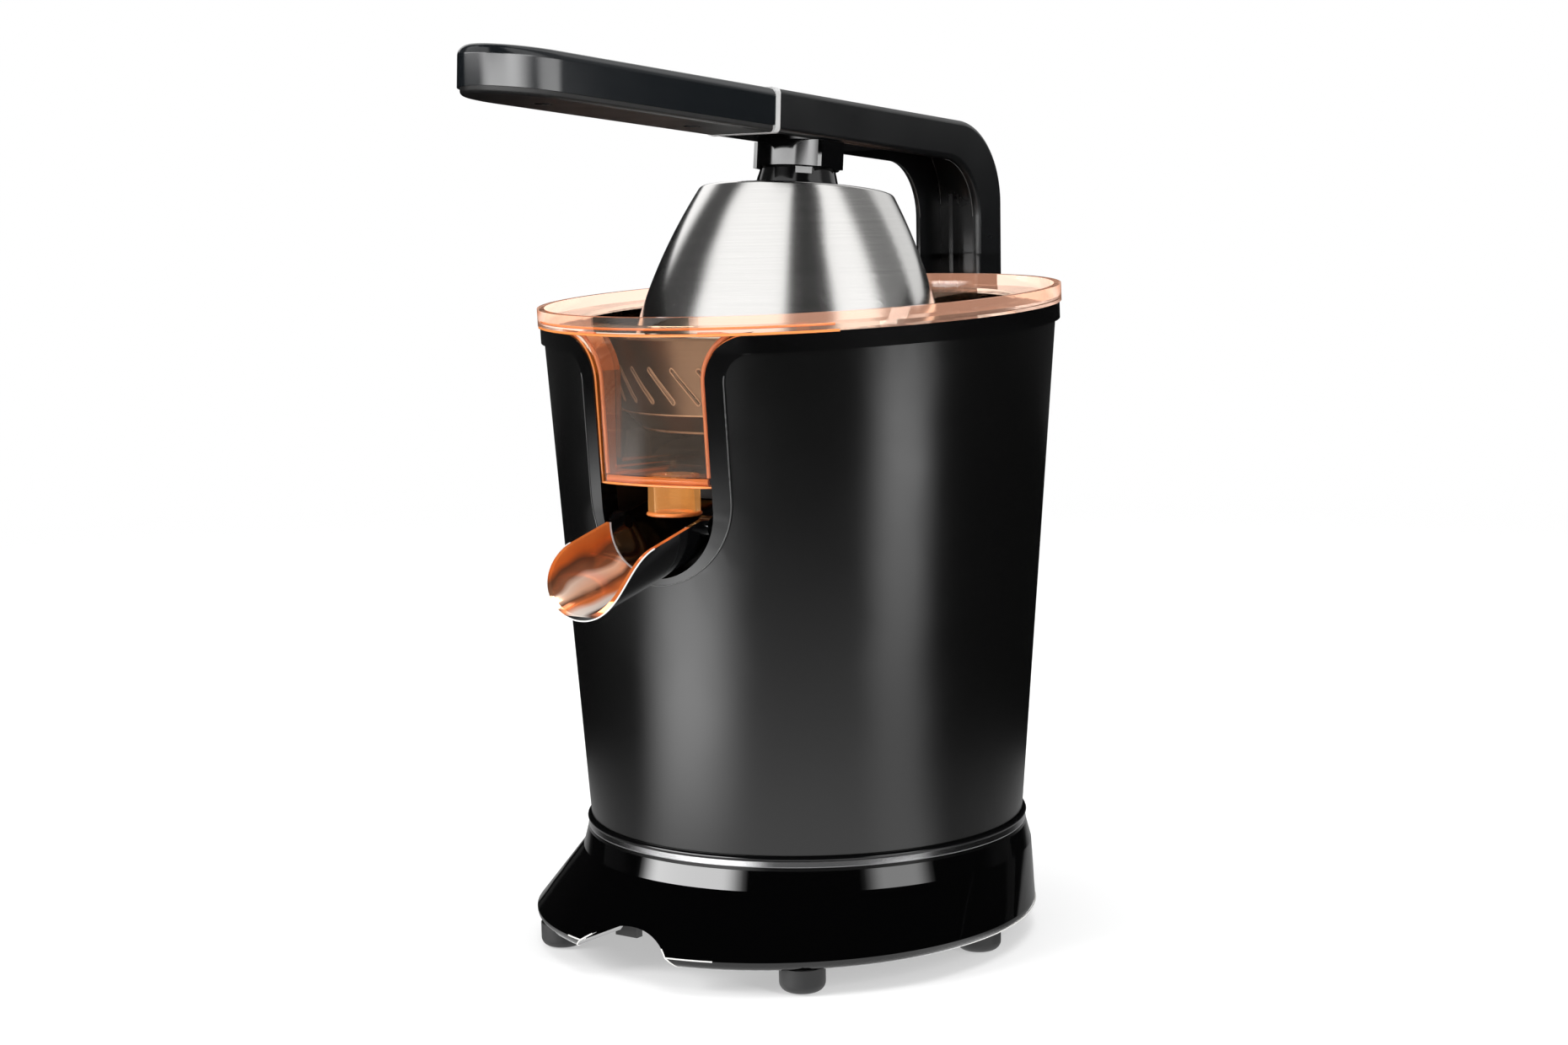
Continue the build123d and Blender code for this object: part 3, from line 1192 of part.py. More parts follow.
def gutter_section(radius):
    """Half-round section of the gutter."""
    ThreePointArc((-radius, 0), (0, -radius), (radius, 0))
    Line((radius, 0), (-radius, 0))


def above_rim():
    """Side view of what lies above the gutter's rim: straight, then swept down round the tip."""
    foot_z = rim_line(SPOUT_TIP_Y) - SPOUT_R
    high = SPOUT_RIM_Z + SPOUT_R
    sweep_z = rim_line(SPOUT_SWEEP_Y)
    far = SPOUT_TIP_Y - 2 * SPOUT_R
    Line((SPOUT_SWEEP_Y, sweep_z), (SPOUT_SWEEP_Y, high))
    Line((SPOUT_SWEEP_Y, high), (far, high))
    Line((far, high), (far, foot_z - SPOUT_R))
    Line((far, foot_z - SPOUT_R), (SPOUT_TIP_Y, foot_z - SPOUT_R))
    Line((SPOUT_TIP_Y, foot_z - SPOUT_R), (SPOUT_TIP_Y, foot_z))
    TangentArc(
        (SPOUT_SWEEP_Y, sweep_z),
        (SPOUT_TIP_Y, foot_z),
        tangent=(-cos(FALL), -sin(FALL)),
    )


with BuildPart() as spout_trough:
    with BuildSketch(GUTTER.offset(-GUTTER_BACK)):
        with BuildLine():
            gutter_section(SPOUT_R)
        make_face()
    extrude(amount=GUTTER_BACK + GUTTER_FRONT)
    for side in (-1, 1):
        with BuildSketch(Plane.YZ.offset(side * (SPOUT_R - SPOUT_T))):
            with Locations((AXIS_Y + SPOUT_PIVOT_Y, SPOUT_PIVOT_Z)):
                Circle(SPOUT_LUG_R)
        extrude(amount=side * (SPOUT_LUG_X - SPOUT_R + SPOUT_T))
    with BuildSketch(GUTTER.offset(SPOUT_T - GUTTER_BACK)):
        with BuildLine():
            gutter_section(SPOUT_R - SPOUT_T)
        make_face()
    extrude(amount=GUTTER_BACK + GUTTER_FRONT, mode=Mode.SUBTRACT)
    split(bisect_by=FRONT.offset(-SPOUT_STEP_Y), keep=Keep.BOTTOM)
    with BuildSketch(Plane.YZ.offset(-SPOUT_LUG_X)):
        with Locations((AXIS_Y + SPOUT_PIVOT_Y, SPOUT_PIVOT_Z)):
            Circle(SPOUT_PIN_R + RUN_GAP)
    extrude(amount=2 * SPOUT_LUG_X, mode=Mode.SUBTRACT)
save(spout_trough, "spout_trough")

with BuildPart() as spout_lip:
    with BuildSketch(GUTTER.offset(-GUTTER_BACK)):
        with BuildLine():
            gutter_section(SPOUT_R)
        make_face()
    extrude(amount=GUTTER_BACK + GUTTER_FRONT)
    with BuildSketch(GUTTER.offset(-GUTTER_BACK)):
        with BuildLine():
            gutter_section(SPOUT_R - SPOUT_T)
        make_face()
    extrude(amount=GUTTER_BACK + GUTTER_FRONT, mode=Mode.SUBTRACT)
    split(bisect_by=FRONT.offset(-SPOUT_STEP_Y), keep=Keep.TOP)
    with BuildSketch(SIDE):
        with BuildLine():
            above_rim()
        make_face()
    extrude(amount=SPOUT_R + OVERRUN, both=True, mode=Mode.SUBTRACT)
save(spout_lip, "spout_lip")

with BuildPart() as spout_pins:
    for side in (-1, 1):
        with BuildSketch(Plane.YZ.offset(side * (SPOUT_R - SPOUT_T))):
            with Locations((AXIS_Y + SPOUT_PIVOT_Y, SPOUT_PIVOT_Z)):
                Circle(SPOUT_PIN_R)
        extrude(amount=side * (SPOUT_PIN_END_X - SPOUT_R + SPOUT_T))
save(spout_pins, "spout_pins")

# Well behind the slot, which keeps splashes off the works
with BuildPart() as spout_well:
    with BuildSketch(FRONT.offset(-WELL_BACK_Y - WELL_T)):
        with BuildLine():
            round_slot(SLOT_HALF_W + WELL_T, SLOT_FLARE_R, WELL_LOW_Z, SLOT_TOP_Z)
        make_face()
    extrude(amount=FRONT_REACH)
    with BuildSketch(FRONT.offset(-WELL_BACK_Y)):
        with BuildLine():
            round_slot(SLOT_HALF_W, SLOT_FLARE_R, WELL_LOW_Z, SLOT_TOP_Z)
        make_face()
    extrude(amount=FRONT_REACH, mode=Mode.SUBTRACT)
    with BuildSketch(BODY_FRONT):
        with BuildLine():
            cone_core(BEZEL_DEPTH, SHELL_FOOT_Z, SLAB_Z - FIT_GAP)
        make_face()
    revolve(axis=BODY_AXIS, mode=Mode.INTERSECT)
save(spout_well, "spout_well")

# Rear bracket: a flange on the shell's back, a tongue for the arm pin and two stops for the post
with BuildPart() as rear_bracket:
    with BuildSketch(FRONT.offset(-BODY_Y)):
        with Locations((0, (FLANGE_LOW_Z + FLANGE_TOP_Z) / 2)):
            Rectangle(2 * FLANGE_HALF_W, FLANGE_TOP_Z - FLANGE_LOW_Z)
    extrude(amount=BODY_Y - FLANGE_BACK_Y)
    fillet(rear_bracket.edges().filter_by(Axis.Y), FLANGE_HALF_W / 4)
    with BuildSketch(SIDE):
        with BuildLine():
            Line((BODY_Y, PIN_Z - TONGUE_R), (PIN_Y, PIN_Z - TONGUE_R))
            ThreePointArc((PIN_Y, PIN_Z - TONGUE_R), (PIN_Y + TONGUE_R, PIN_Z), (PIN_Y, PIN_Z + TONGUE_R))
            Line((PIN_Y, PIN_Z + TONGUE_R), (BODY_Y, PIN_Z + TONGUE_R))
            Line((BODY_Y, PIN_Z + TONGUE_R), (BODY_Y, PIN_Z - TONGUE_R))
        make_face()
    extrude(amount=TONGUE_HALF_W, both=True)
    with BuildSketch(FRONT.offset(-BODY_Y)):
        for side in (-1, 1):
            with Locations((side * (STOP_IN_X + STOP_OUT_X) / 2, (STOP_LOW_Z + FLANGE_TOP_Z) / 2)):
                Rectangle(STOP_OUT_X - STOP_IN_X, FLANGE_TOP_Z - STOP_LOW_Z)
    extrude(amount=BODY_Y - POST_BACK + POST_D + SLIP_GAP)
    with BuildSketch(BODY_FRONT):
        with BuildLine():
            cone_core(0, SHELL_FOOT_Z, RIM_Z)
        make_face()
    revolve(axis=BODY_AXIS, mode=Mode.SUBTRACT)
    with BuildSketch(SIDE):
        with Locations((PIN_Y, PIN_Z)):
            Circle(ARM_PIN_R)
    extrude(amount=TONGUE_HALF_W, both=True, mode=Mode.SUBTRACT)
    with BuildSketch(FRONT.offset(-BODY_Y)):
        for z in (BRACKET_SCREW_LOW_Z, BRACKET_SCREW_TOP_Z):
            with Locations((-BRACKET_SCREW_X, z), (BRACKET_SCREW_X, z)):
                Circle(BRACKET_SCREW_R)
    extrude(amount=-FRONT_REACH, mode=Mode.SUBTRACT)
save(rear_bracket, "rear_bracket")

# Backing plate inside the shell, which the bracket's screws bite into
with BuildPart() as bracket_plate:
    with BuildSketch(FRONT.offset(-BODY_Y)):
        with Locations((0, (FLANGE_LOW_Z + FLANGE_TOP_Z - SPIGOT_H) / 2)):
            Rectangle(2 * FLANGE_HALF_W, FLANGE_TOP_Z - FLANGE_LOW_Z - SPIGOT_H)
    extrude(amount=-FRONT_REACH)
    with BuildSketch(BODY_FRONT):
        with BuildLine():
            cone_section(-SHELL_T, SHELL_T + BRACKET_PLATE_T, SHELL_FOOT_Z, RIM_Z)
        make_face()
    revolve(axis=BODY_AXIS, mode=Mode.INTERSECT)
    split(bisect_by=RIM.offset(-COLLAR_DROP - SPIGOT_H - FIT_GAP), keep=Keep.BOTTOM)
    with BuildSketch(FRONT.offset(-BODY_Y)):
        for z in (BRACKET_SCREW_LOW_Z, BRACKET_SCREW_TOP_Z):
            with Locations((-BRACKET_SCREW_X, z), (BRACKET_SCREW_X, z)):
                Circle(BRACKET_SCREW_R)
    extrude(amount=-FRONT_REACH, mode=Mode.SUBTRACT)
save(bracket_plate, "bracket_plate")

BRACKET_SCREW_L = FLANGE_BACK_Y - BODY_Y - shell_r(FLANGE_LOW_Z) + SHELL_T + BRACKET_PLATE_T
with BuildPart() as bracket_screws:
    for radius, length in (
        (BRACKET_SCREW_R, BRACKET_SCREW_L),
        (BRACKET_SCREW_HEAD_R, -BRACKET_SCREW_HEAD_H),
    ):
        with BuildSketch(FRONT.offset(-FLANGE_BACK_Y)):
            for z in (BRACKET_SCREW_LOW_Z, BRACKET_SCREW_TOP_Z):
                with Locations((-BRACKET_SCREW_X, z), (BRACKET_SCREW_X, z)):
                    Circle(radius)
        extrude(amount=length)
save(bracket_screws, "bracket_screws")

# Arm pin, fixed in the bracket's tongue
with BuildPart() as arm_pin:
    with BuildSketch(SIDE):
        with Locations((PIN_Y, PIN_Z)):
            Circle(ARM_PIN_R)
    extrude(amount=ARM_HALF_W, both=True)
save(arm_pin, "arm_pin")

# Bushes in the post's two walls
with BuildPart() as arm_bushes:
    for side in (-1, 1):
        with BuildSketch(SIDE.offset(side * BORE_HALF_W)):
            with Locations((PIN_Y, PIN_Z)):
                Circle(ARM_BUSH_R)
                Circle(ARM_PIN_R + RUN_GAP, mode=Mode.SUBTRACT)
        extrude(amount=side * ARM_WALL)
save(arm_bushes, "arm_bushes")

# Arm casing: the L's side view, bored out to a channel, with rails inside the post
ARM_FRONT_Y = ARM_FRONT * cos(RISE)
POST_FRONT = POST_BACK - POST_D
with BuildPart() as arm_shell:
    with BuildSketch(SIDE):
        with BuildLine():
            bend = arm_turn(BEND_R, POST_BACK, 0)
            arch = arm_turn(ARCH_R, POST_FRONT, ARM_T)
            front_y = ARM_FRONT_Y
            back_y = ARM_FRONT_Y - ARM_T * sin(RISE)
            Line((front_y, arm_line(0, front_y)), bend[0])
            ThreePointArc(*bend)
            Line(bend[2], (POST_BACK, PIN_Z))
            ThreePointArc((POST_BACK, PIN_Z), (PIN_Y, PIN_Z - POST_D / 2), (POST_FRONT, PIN_Z))
            Line((POST_FRONT, PIN_Z), arch[2])
            ThreePointArc(*reversed(arch))
            Line(arch[0], (back_y, arm_line(ARM_T, back_y)))
            Line((back_y, arm_line(ARM_T, back_y)), (front_y, arm_line(0, front_y)))
        make_face()
    extrude(amount=ARM_HALF_W, both=True)
    fillet(
        arm_shell.edges().filter_by(lambda e: abs(abs(e.center().X) - ARM_HALF_W) < RUN_GAP)
        .filter_by(lambda e: e.center().Z > arm_line(ARM_T / 2, e.center().Y - AXIS_Y)
                   or e.center().Y - AXIS_Y > POST_BACK - ARM_WALL),
        ARM_ROUND,
    )
    with BuildSketch(SIDE):
        with BuildLine():
            bend = arm_turn(BEND_R - ARM_WALL, POST_BACK - ARM_WALL, ARM_WALL)
            start_y = ARM_FRONT_Y - ARM_T
            low_z = PIN_Z - POST_D
            deep_y = POST_FRONT - ARCH_R
            deep_z = arm_line(2 * ARM_T, start_y) - ARCH_R
            Line((start_y, arm_line(ARM_WALL, start_y)), bend[0])
            ThreePointArc(*bend)
            Line(bend[2], (POST_BACK - ARM_WALL, low_z))
            Line((POST_BACK - ARM_WALL, low_z), (deep_y, low_z))
            Line((deep_y, low_z), (deep_y, deep_z))
            Line((deep_y, deep_z), (start_y, deep_z))
            Line((start_y, deep_z), (start_y, arm_line(ARM_WALL, start_y)))
        make_face()
    extrude(amount=BORE_HALF_W, both=True, mode=Mode.SUBTRACT)
    with BuildSketch(FRONT.offset(-POST_BACK - OVERRUN)):
        with Locations((0, PIN_Z + WEB_RISE - POST_D)):
            Rectangle(2 * BORE_HALF_W, 2 * POST_D)
    extrude(amount=ARM_WALL + 2 * OVERRUN, mode=Mode.SUBTRACT)
    with BuildSketch(SIDE):
        with Locations((PIN_Y, PIN_Z)):
            Circle(ARM_BUSH_R)
    extrude(amount=ARM_W, both=True, mode=Mode.SUBTRACT)
    with BuildSketch(FRONT.offset(-POST_BACK + ARM_WALL)):
        for side in (-1, 1):
            with Locations((side * RAIL_X, (RAIL_LOW_Z + RAIL_TOP_Z) / 2)):
                Rectangle(RAIL_T, RAIL_TOP_Z - RAIL_LOW_Z)
    extrude(amount=RAIL_D)
save(arm_shell, "arm_shell")


def bar_plan(front, back, half_w):
    """Plan of a straight bar along the arm."""
    with Locations((0, (front + back) / 2)):
        Rectangle(2 * half_w, back - front)


# Core bar inside the arm and the grip
with BuildPart() as arm_core:
    with BuildSketch(ARM_TOP.offset(-ARM_WALL)):
        bar_plan(CORE_FRONT, CORE_BACK, CORE_HALF_W)
    extrude(amount=-CORE_T)
save(arm_core, "arm_core")

# Silver band between the casing and the grip
with BuildPart() as grip_trim:
    with BuildSketch(ARM_TOP.offset(TRIM_PROUD)):
        bar_plan(ARM_FRONT - TRIM_W, ARM_FRONT, ARM_HALF_W + TRIM_PROUD)
    extrude(amount=-ARM_T - 2 * TRIM_PROUD)
    fillet(grip_trim.edges().filter_by(Axis((0, 0, 0), ARM_TOP.y_dir)), ARM_ROUND)
    with BuildSketch(ARM_TOP.offset(-ARM_WALL)):
        bar_plan(ARM_FRONT - TRIM_W, ARM_FRONT, BORE_HALF_W)
    extrude(amount=2 * ARM_WALL - ARM_T, mode=Mode.SUBTRACT)
save(grip_trim, "grip_trim")

# Grip cover: round-nosed in plan, hollow from below
GRIP_BACK = ARM_FRONT - TRIM_W
GRIP_TIP = -(GRIP_REACH - ARM_T * sin(RISE)) / cos(RISE)


def grip_plan(half_w, back):
    """Plan of the grip: straight sides and a long round nose."""
    nose = GRIP_TIP + GRIP_NOSE_L
    Line((-half_w, back), (half_w, back))
    Line((half_w, back), (half_w, nose))
    EllipticalCenterArc((0, nose), half_w, GRIP_NOSE_L + half_w - ARM_HALF_W, start_angle=180, arc_size=180)
    Line((-half_w, nose), (-half_w, back))


with BuildPart() as grip_cover:
    with BuildSketch(ARM_TOP):
        with BuildLine():
            grip_plan(ARM_HALF_W, GRIP_BACK)
        make_face()
    extrude(amount=-GRIP_SIDE_H)
    top_face = grip_cover.faces().sort_by(Axis((0, 0, 0), ARM_TOP.z_dir))[-1]
    back_edge = top_face.edges().sort_by(Axis.Y)[-1]
    fillet(top_face.edges() - [back_edge], GRIP_ROUND)
    with BuildSketch(ARM_TOP.offset(-GRIP_WALL)):
        with BuildLine():
            grip_plan(ARM_HALF_W - GRIP_WALL, GRIP_BACK)
        make_face()
    extrude(amount=-GRIP_SIDE_H, mode=Mode.SUBTRACT)
save(grip_cover, "grip_cover")

# Underside plate of the grip, a step in from the cover's sides
GRIP_LENGTH = GRIP_BACK - GRIP_TIP
with BuildPart() as grip_underside:
    with BuildSketch(ARM_TOP.offset(-GRIP_SIDE_H)):
        with BuildLine():
            grip_plan(ARM_HALF_W - UNDERSIDE_INSET, GRIP_BACK)
        make_face()
    extrude(amount=GRIP_SIDE_H - ARM_T)
    low_face = grip_underside.faces().sort_by(Axis((0, 0, 0), ARM_TOP.z_dir))[0]
    fillet(low_face.edges() - [low_face.edges().sort_by(Axis.Y)[-1]], UNDERSIDE_ROUND)
    with BuildSketch(ARM_TOP.offset(-ARM_T)):
        for share in GRIP_SCREW_SHARES:
            with Locations((0, GRIP_TIP + share * GRIP_LENGTH)):
                Circle(GRIP_SCREW_HEAD_R)
    extrude(amount=GRIP_SCREW_HEAD_H, mode=Mode.SUBTRACT)
    with BuildSketch(ARM_TOP.offset(-ARM_T)):
        for share in GRIP_SCREW_SHARES:
            with Locations((0, GRIP_TIP + share * GRIP_LENGTH)):
                Circle(GRIP_SCREW_R)
    extrude(amount=ARM_T - GRIP_SIDE_H, mode=Mode.SUBTRACT)
save(grip_underside, "grip_underside")

# Screws that hold the underside plate to the core bar
with BuildPart() as grip_screws:
    for radius, length in (
        (GRIP_SCREW_HEAD_R, GRIP_SCREW_HEAD_H),
        (GRIP_SCREW_R, ARM_T - ARM_WALL - CORE_T),
    ):
        with BuildSketch(ARM_TOP.offset(-ARM_T)):
            for share in GRIP_SCREW_SHARES:
                with Locations((0, GRIP_TIP + share * GRIP_LENGTH)):
                    Circle(radius)
        extrude(amount=length)
save(grip_screws, "grip_screws")

# Hub boss under the arm: a round boss on the dome's axis, side tabs, and a plate that closes the channel
HUB_FOOT = NECK_H
with BuildPart() as hub_boss:
    with BuildSketch(DOME.offset(HUB_FOOT)):
        Circle(HUB_R)
    extrude(amount=ARM_T)
    with BuildSketch(DOME.offset(HUB_FOOT)):
        Rectangle(2 * HUB_R, HUB_TAB_W)
    extrude(amount=ARM_T)
    split(bisect_by=ARM_TOP.offset(-ARM_T), keep=Keep.BOTTOM)
    with BuildSketch(ARM_TOP.offset(HUB_PLATE_T - ARM_T)):
        bar_plan(ARM_FRONT, HUB_PLATE_BACK, BORE_HALF_W - FIT_GAP)
    extrude(amount=-HUB_PLATE_T)
    with BuildSketch(ARM_TOP.offset(-ARM_WALL - CORE_T)):
        with Locations((0, DOME_Y)):
            Rectangle(2 * (BORE_HALF_W - FIT_GAP), 2 * HUB_R)
    extrude(amount=ARM_WALL + CORE_T - ARM_T)
    with BuildSketch(DOME.offset(HUB_FOOT)):
        Circle(DOME_SCREW_R)
    extrude(amount=DOME_SCREW_L - HUB_FOOT, mode=Mode.SUBTRACT)
save(hub_boss, "hub_boss")

# Neck between hub and dome, with small latch windows round it
with BuildPart() as dome_neck:
    with BuildSketch(DOME_SECTION):
        with BuildLine():
            Polyline(
                (DOME_SCREW_R, 0),
                (NECK_FOOT_R, 0),
                (NECK_FOOT_R, NECK_FOOT_H),
                (NECK_TOP_R, NECK_H),
                (DOME_SCREW_R, NECK_H),
                close=True,
            )
        make_face()
    revolve(axis=DOME_AXIS)
    with BuildSketch(DOME.offset(NECK_H)):
        with PolarLocations(NECK_TOP_R, 4, start_angle=45):
            Rectangle(2 * NECK_WINDOW_D, NECK_WINDOW_W)
    extrude(amount=-NECK_WINDOW_H, mode=Mode.SUBTRACT)
save(dome_neck, "dome_neck")


def dome_arc():
    """Radius of the dome's curve and the place of its centre, from its top, belly and foot."""
    belly_x = DOME_BELLY_R - DOME_TOP_R
    foot_x = DOME_FOOT_R - DOME_TOP_R
    belly_square = belly_x**2 + DOME_BELLY_DROP**2
    foot_square = foot_x**2 + DOME_H**2
    cross = 2 * (belly_x * DOME_H - foot_x * DOME_BELLY_DROP)
    x = (belly_square * DOME_H - foot_square * DOME_BELLY_DROP) / cross
    drop = (belly_x * foot_square - foot_x * belly_square) / cross
    return sqrt(x**2 + drop**2), DOME_TOP_R + x, drop


def dome_profile(inset, height):
    """Top, middle and foot of the dome's curve, drawn in by an inset and cut off at a height."""
    radius, x, drop = dome_arc()
    points = []
    for down in (inset, (inset + height) / 2, height):
        points.append((x + sqrt((radius - inset) ** 2 - (down - drop) ** 2), -down))
    return points


def dome_layer(outer, inner):
    """Section of the wall between two such curves, closed at the top."""
    Line((0, outer[0][1]), outer[0])
    ThreePointArc(*outer)
    Line(outer[2], inner[2])
    ThreePointArc(*reversed(inner))
    Line(inner[0], (0, inner[0][1]))
    Line((0, inner[0][1]), (0, outer[0][1]))


# Press dome: a spun steel shell
with BuildPart() as press_dome:
    with BuildSketch(DOME_SECTION):
        with BuildLine():
            dome_layer(dome_profile(0, DOME_H), dome_profile(DOME_T, DOME_H))
        make_face()
    revolve(axis=DOME_AXIS)
    fillet(
        press_dome.edges().filter_by(GeomType.CIRCLE)
        .filter_by(lambda e: abs(e.radius - DOME_TOP_R) < RUN_GAP),
        DOME_ROUND,
    )
    with BuildSketch(DOME):
        Circle(DOME_SCREW_R)
    extrude(amount=-DOME_T, mode=Mode.SUBTRACT)
save(press_dome, "press_dome")

# Liner inside the dome, with ribs that grip the fruit
LINER_IN = DOME_T + FIT_GAP
with BuildPart() as dome_liner:
    with BuildSketch(DOME_SECTION):
        with BuildLine():
            dome_layer(dome_profile(LINER_IN, LINER_H), dome_profile(LINER_IN + LINER_T, LINER_H))
        make_face()
    revolve(axis=DOME_AXIS)
    for rib in range(LINER_RIBS):
        bearing = 2 * pi * rib / LINER_RIBS
        out = DOME.x_dir * cos(bearing) + DOME.y_dir * sin(bearing)
        across = DOME.x_dir * sin(bearing) - DOME.y_dir * cos(bearing)
        wall = dome_profile(LINER_IN + LINER_T / 2, LINER_H)
        with BuildSketch(Plane(DOME.origin, x_dir=out, z_dir=across)):
            with BuildLine():
                ThreePointArc(*wall)
                Line(wall[2], (wall[2][0] - LINER_RIB_D, wall[2][1]))
                Line((wall[2][0] - LINER_RIB_D, wall[2][1]), (wall[0][0] - LINER_RIB_D, wall[0][1]))
                Line((wall[0][0] - LINER_RIB_D, wall[0][1]), wall[0])
            make_face()
        extrude(amount=LINER_RIB_T / 2, both=True)
    with BuildSketch(DOME):
        Circle(DOME_SCREW_R)
    extrude(amount=-LINER_IN - LINER_T - OVERRUN, mode=Mode.SUBTRACT)
save(dome_liner, "dome_liner")

# Screw that draws liner, dome and neck up to the hub
with BuildPart() as dome_screw:
    with BuildSketch(DOME.offset(-LINER_IN - LINER_T)):
        Circle(DOME_SCREW_HEAD_R)
    extrude(amount=-DOME_SCREW_HEAD_H)
    with BuildSketch(DOME.offset(-LINER_IN - LINER_T)):
        Circle(DOME_SCREW_R)
    extrude(amount=DOME_SCREW_L)
save(dome_screw, "dome_screw")
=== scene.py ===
# %% [markdown]
# # A lever citrus press, dressed step by step
#
# The solids of the press arrive as a fixed frame: every piece at its real size, in metres, with the
# spout towards -Y. This lesson gives each piece its finish, and remakes the pieces whose shape
# shows most. Each step says first what the piece is on the real press, how it could be made,
# and why one way was chosen.

# %% Load the frame
import json
from math import atan2, cos, pi, radians, sin, sqrt

import bmesh
import bpy
from mathutils import Matrix, Vector

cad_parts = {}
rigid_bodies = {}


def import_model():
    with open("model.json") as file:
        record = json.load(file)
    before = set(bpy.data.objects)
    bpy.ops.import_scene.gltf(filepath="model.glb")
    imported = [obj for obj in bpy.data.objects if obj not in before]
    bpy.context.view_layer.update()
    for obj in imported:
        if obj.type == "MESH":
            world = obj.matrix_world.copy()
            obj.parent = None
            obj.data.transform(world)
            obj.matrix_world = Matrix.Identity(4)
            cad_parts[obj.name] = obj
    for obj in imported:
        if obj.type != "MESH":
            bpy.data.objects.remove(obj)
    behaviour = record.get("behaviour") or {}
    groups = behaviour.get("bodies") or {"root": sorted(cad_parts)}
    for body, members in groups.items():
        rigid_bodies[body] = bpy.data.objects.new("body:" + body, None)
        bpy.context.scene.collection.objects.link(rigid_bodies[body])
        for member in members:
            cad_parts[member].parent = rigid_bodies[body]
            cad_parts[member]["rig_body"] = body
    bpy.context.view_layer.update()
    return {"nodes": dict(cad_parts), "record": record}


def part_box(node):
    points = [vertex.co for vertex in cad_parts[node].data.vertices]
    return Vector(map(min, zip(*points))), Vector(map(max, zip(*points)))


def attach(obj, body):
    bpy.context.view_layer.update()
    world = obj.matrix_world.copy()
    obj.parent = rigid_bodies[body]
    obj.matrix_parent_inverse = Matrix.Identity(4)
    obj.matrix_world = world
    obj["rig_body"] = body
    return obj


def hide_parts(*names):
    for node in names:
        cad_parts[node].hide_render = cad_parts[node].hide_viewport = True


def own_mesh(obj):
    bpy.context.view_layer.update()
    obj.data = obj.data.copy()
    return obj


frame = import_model()
NODES = frame["nodes"]
SLOT_OF = {part["node"]: part["material_slot"] for part in frame["record"]["subparts"]}
# The reamer turns on an upright line at this y.
AXIS_Y = sum(corner[1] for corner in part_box("reamer_cone")) / 2

# %% [markdown]
# ## The camera
#
# A photograph fixes the camera by how the rim, the shell's edges and the base project. Here the
# camera looks down a little at the front right of the press, with a long lens, so upright lines
# stay almost parallel. Its place and turn are written as sizes and angles, not as a matrix.

# %% Camera
PICTURE_W = 1860  # pixels, the picture's width
FOCAL_PX = 2975.8  # focal length in the same pixels
SENSOR_MM = 36.0
CAMERA_AT = Vector((0.4909, -0.6756, 0.2341))
CAMERA_TURN = radians(35.44)  # swung round to the right of the front
CAMERA_DIP = radians(6.42)
CAMERA_ROLL = radians(-0.99)

look = Vector((
    -sin(CAMERA_TURN) * cos(CAMERA_DIP),
    cos(CAMERA_TURN) * cos(CAMERA_DIP),
    -sin(CAMERA_DIP),
))
level_right = Vector((cos(CAMERA_TURN), sin(CAMERA_TURN), 0))
level_up = level_right.cross(look)
right = cos(CAMERA_ROLL) * level_right + sin(CAMERA_ROLL) * level_up
up = cos(CAMERA_ROLL) * level_up - sin(CAMERA_ROLL) * level_right
camera_data = bpy.data.cameras.new("camera")
camera_data.sensor_fit = "HORIZONTAL"
camera_data.sensor_width = SENSOR_MM
camera_data.lens = FOCAL_PX / PICTURE_W * SENSOR_MM
camera = bpy.data.objects.new("camera", camera_data)
bpy.context.scene.collection.objects.link(camera)
turn = Matrix((right, up, -look)).transposed()
camera.matrix_world = Matrix.Translation(CAMERA_AT) @ turn.to_4x4()
bpy.context.scene.camera = camera
print("lens", round(camera_data.lens, 1), "mm")

# %% [markdown]
# ## Shader tools
#
# Every finish below is a small node tree. A few short helpers keep the trees readable: one makes a
# material with its main shader, one adds a node with its settings, one links nodes to each other,
# and one writes a grey as a colour. A Mix node has a set of sockets for each kind of data, under
# the same names, so those are picked by number.

# %% Shader tools
VALUE_A, VALUE_B = 2, 3  # a Mix node's inputs for values
COLOUR_A, COLOUR_B, COLOUR_OUT = 6, 7, 2  # and its sockets for colours


def new_material(name, **settings):
    """A material with a Principled shader whose plain sockets are set by name."""
    material = bpy.data.materials.new(name)
    material.use_nodes = True
    shader = material.node_tree.nodes["Principled BSDF"]
    for key, value in settings.items():
        shader.inputs[key.replace("_", " ").title().replace("Ior", "IOR")].default_value = value
    return material, material.node_tree, shader


def add_node(tree, kind, place=(0, 0), **settings):
    """A node of a kind, with its properties or its input sockets set by name."""
    node = tree.nodes.new(kind)
    node.location = place
    for key, value in settings.items():
        if hasattr(node, key):
            setattr(node, key, value)
        else:
            node.inputs[key.replace("_", " ").title()].default_value = value
    return node


def wire(tree, *links):
    """Links between nodes, each given as a node, its output, the next node and its input."""
    for source, output, target, entry in links:
        tree.links.new(source.outputs[output], target.inputs[entry])


def grey(value):
    """A neutral colour."""
    return (value, value, value, 1)


# %% [markdown]
# ## Shared effects
#
# Moulded plastic, paint and metal all carry the same few faults: a fine grain in the surface, and
# slow cloudy changes of gloss where hands and cloths have passed. One node group does the grain as
# a height for bump, one does the cloudy gloss. Each material places the group with its own values.

# %% Groups for grain and cloudy gloss
COARSE_SCALE = 0.12  # coarse grains for each fine one, along a line
CLOUD_LOW, CLOUD_HIGH = 0.35, 0.7  # noise values between which the gloss changes


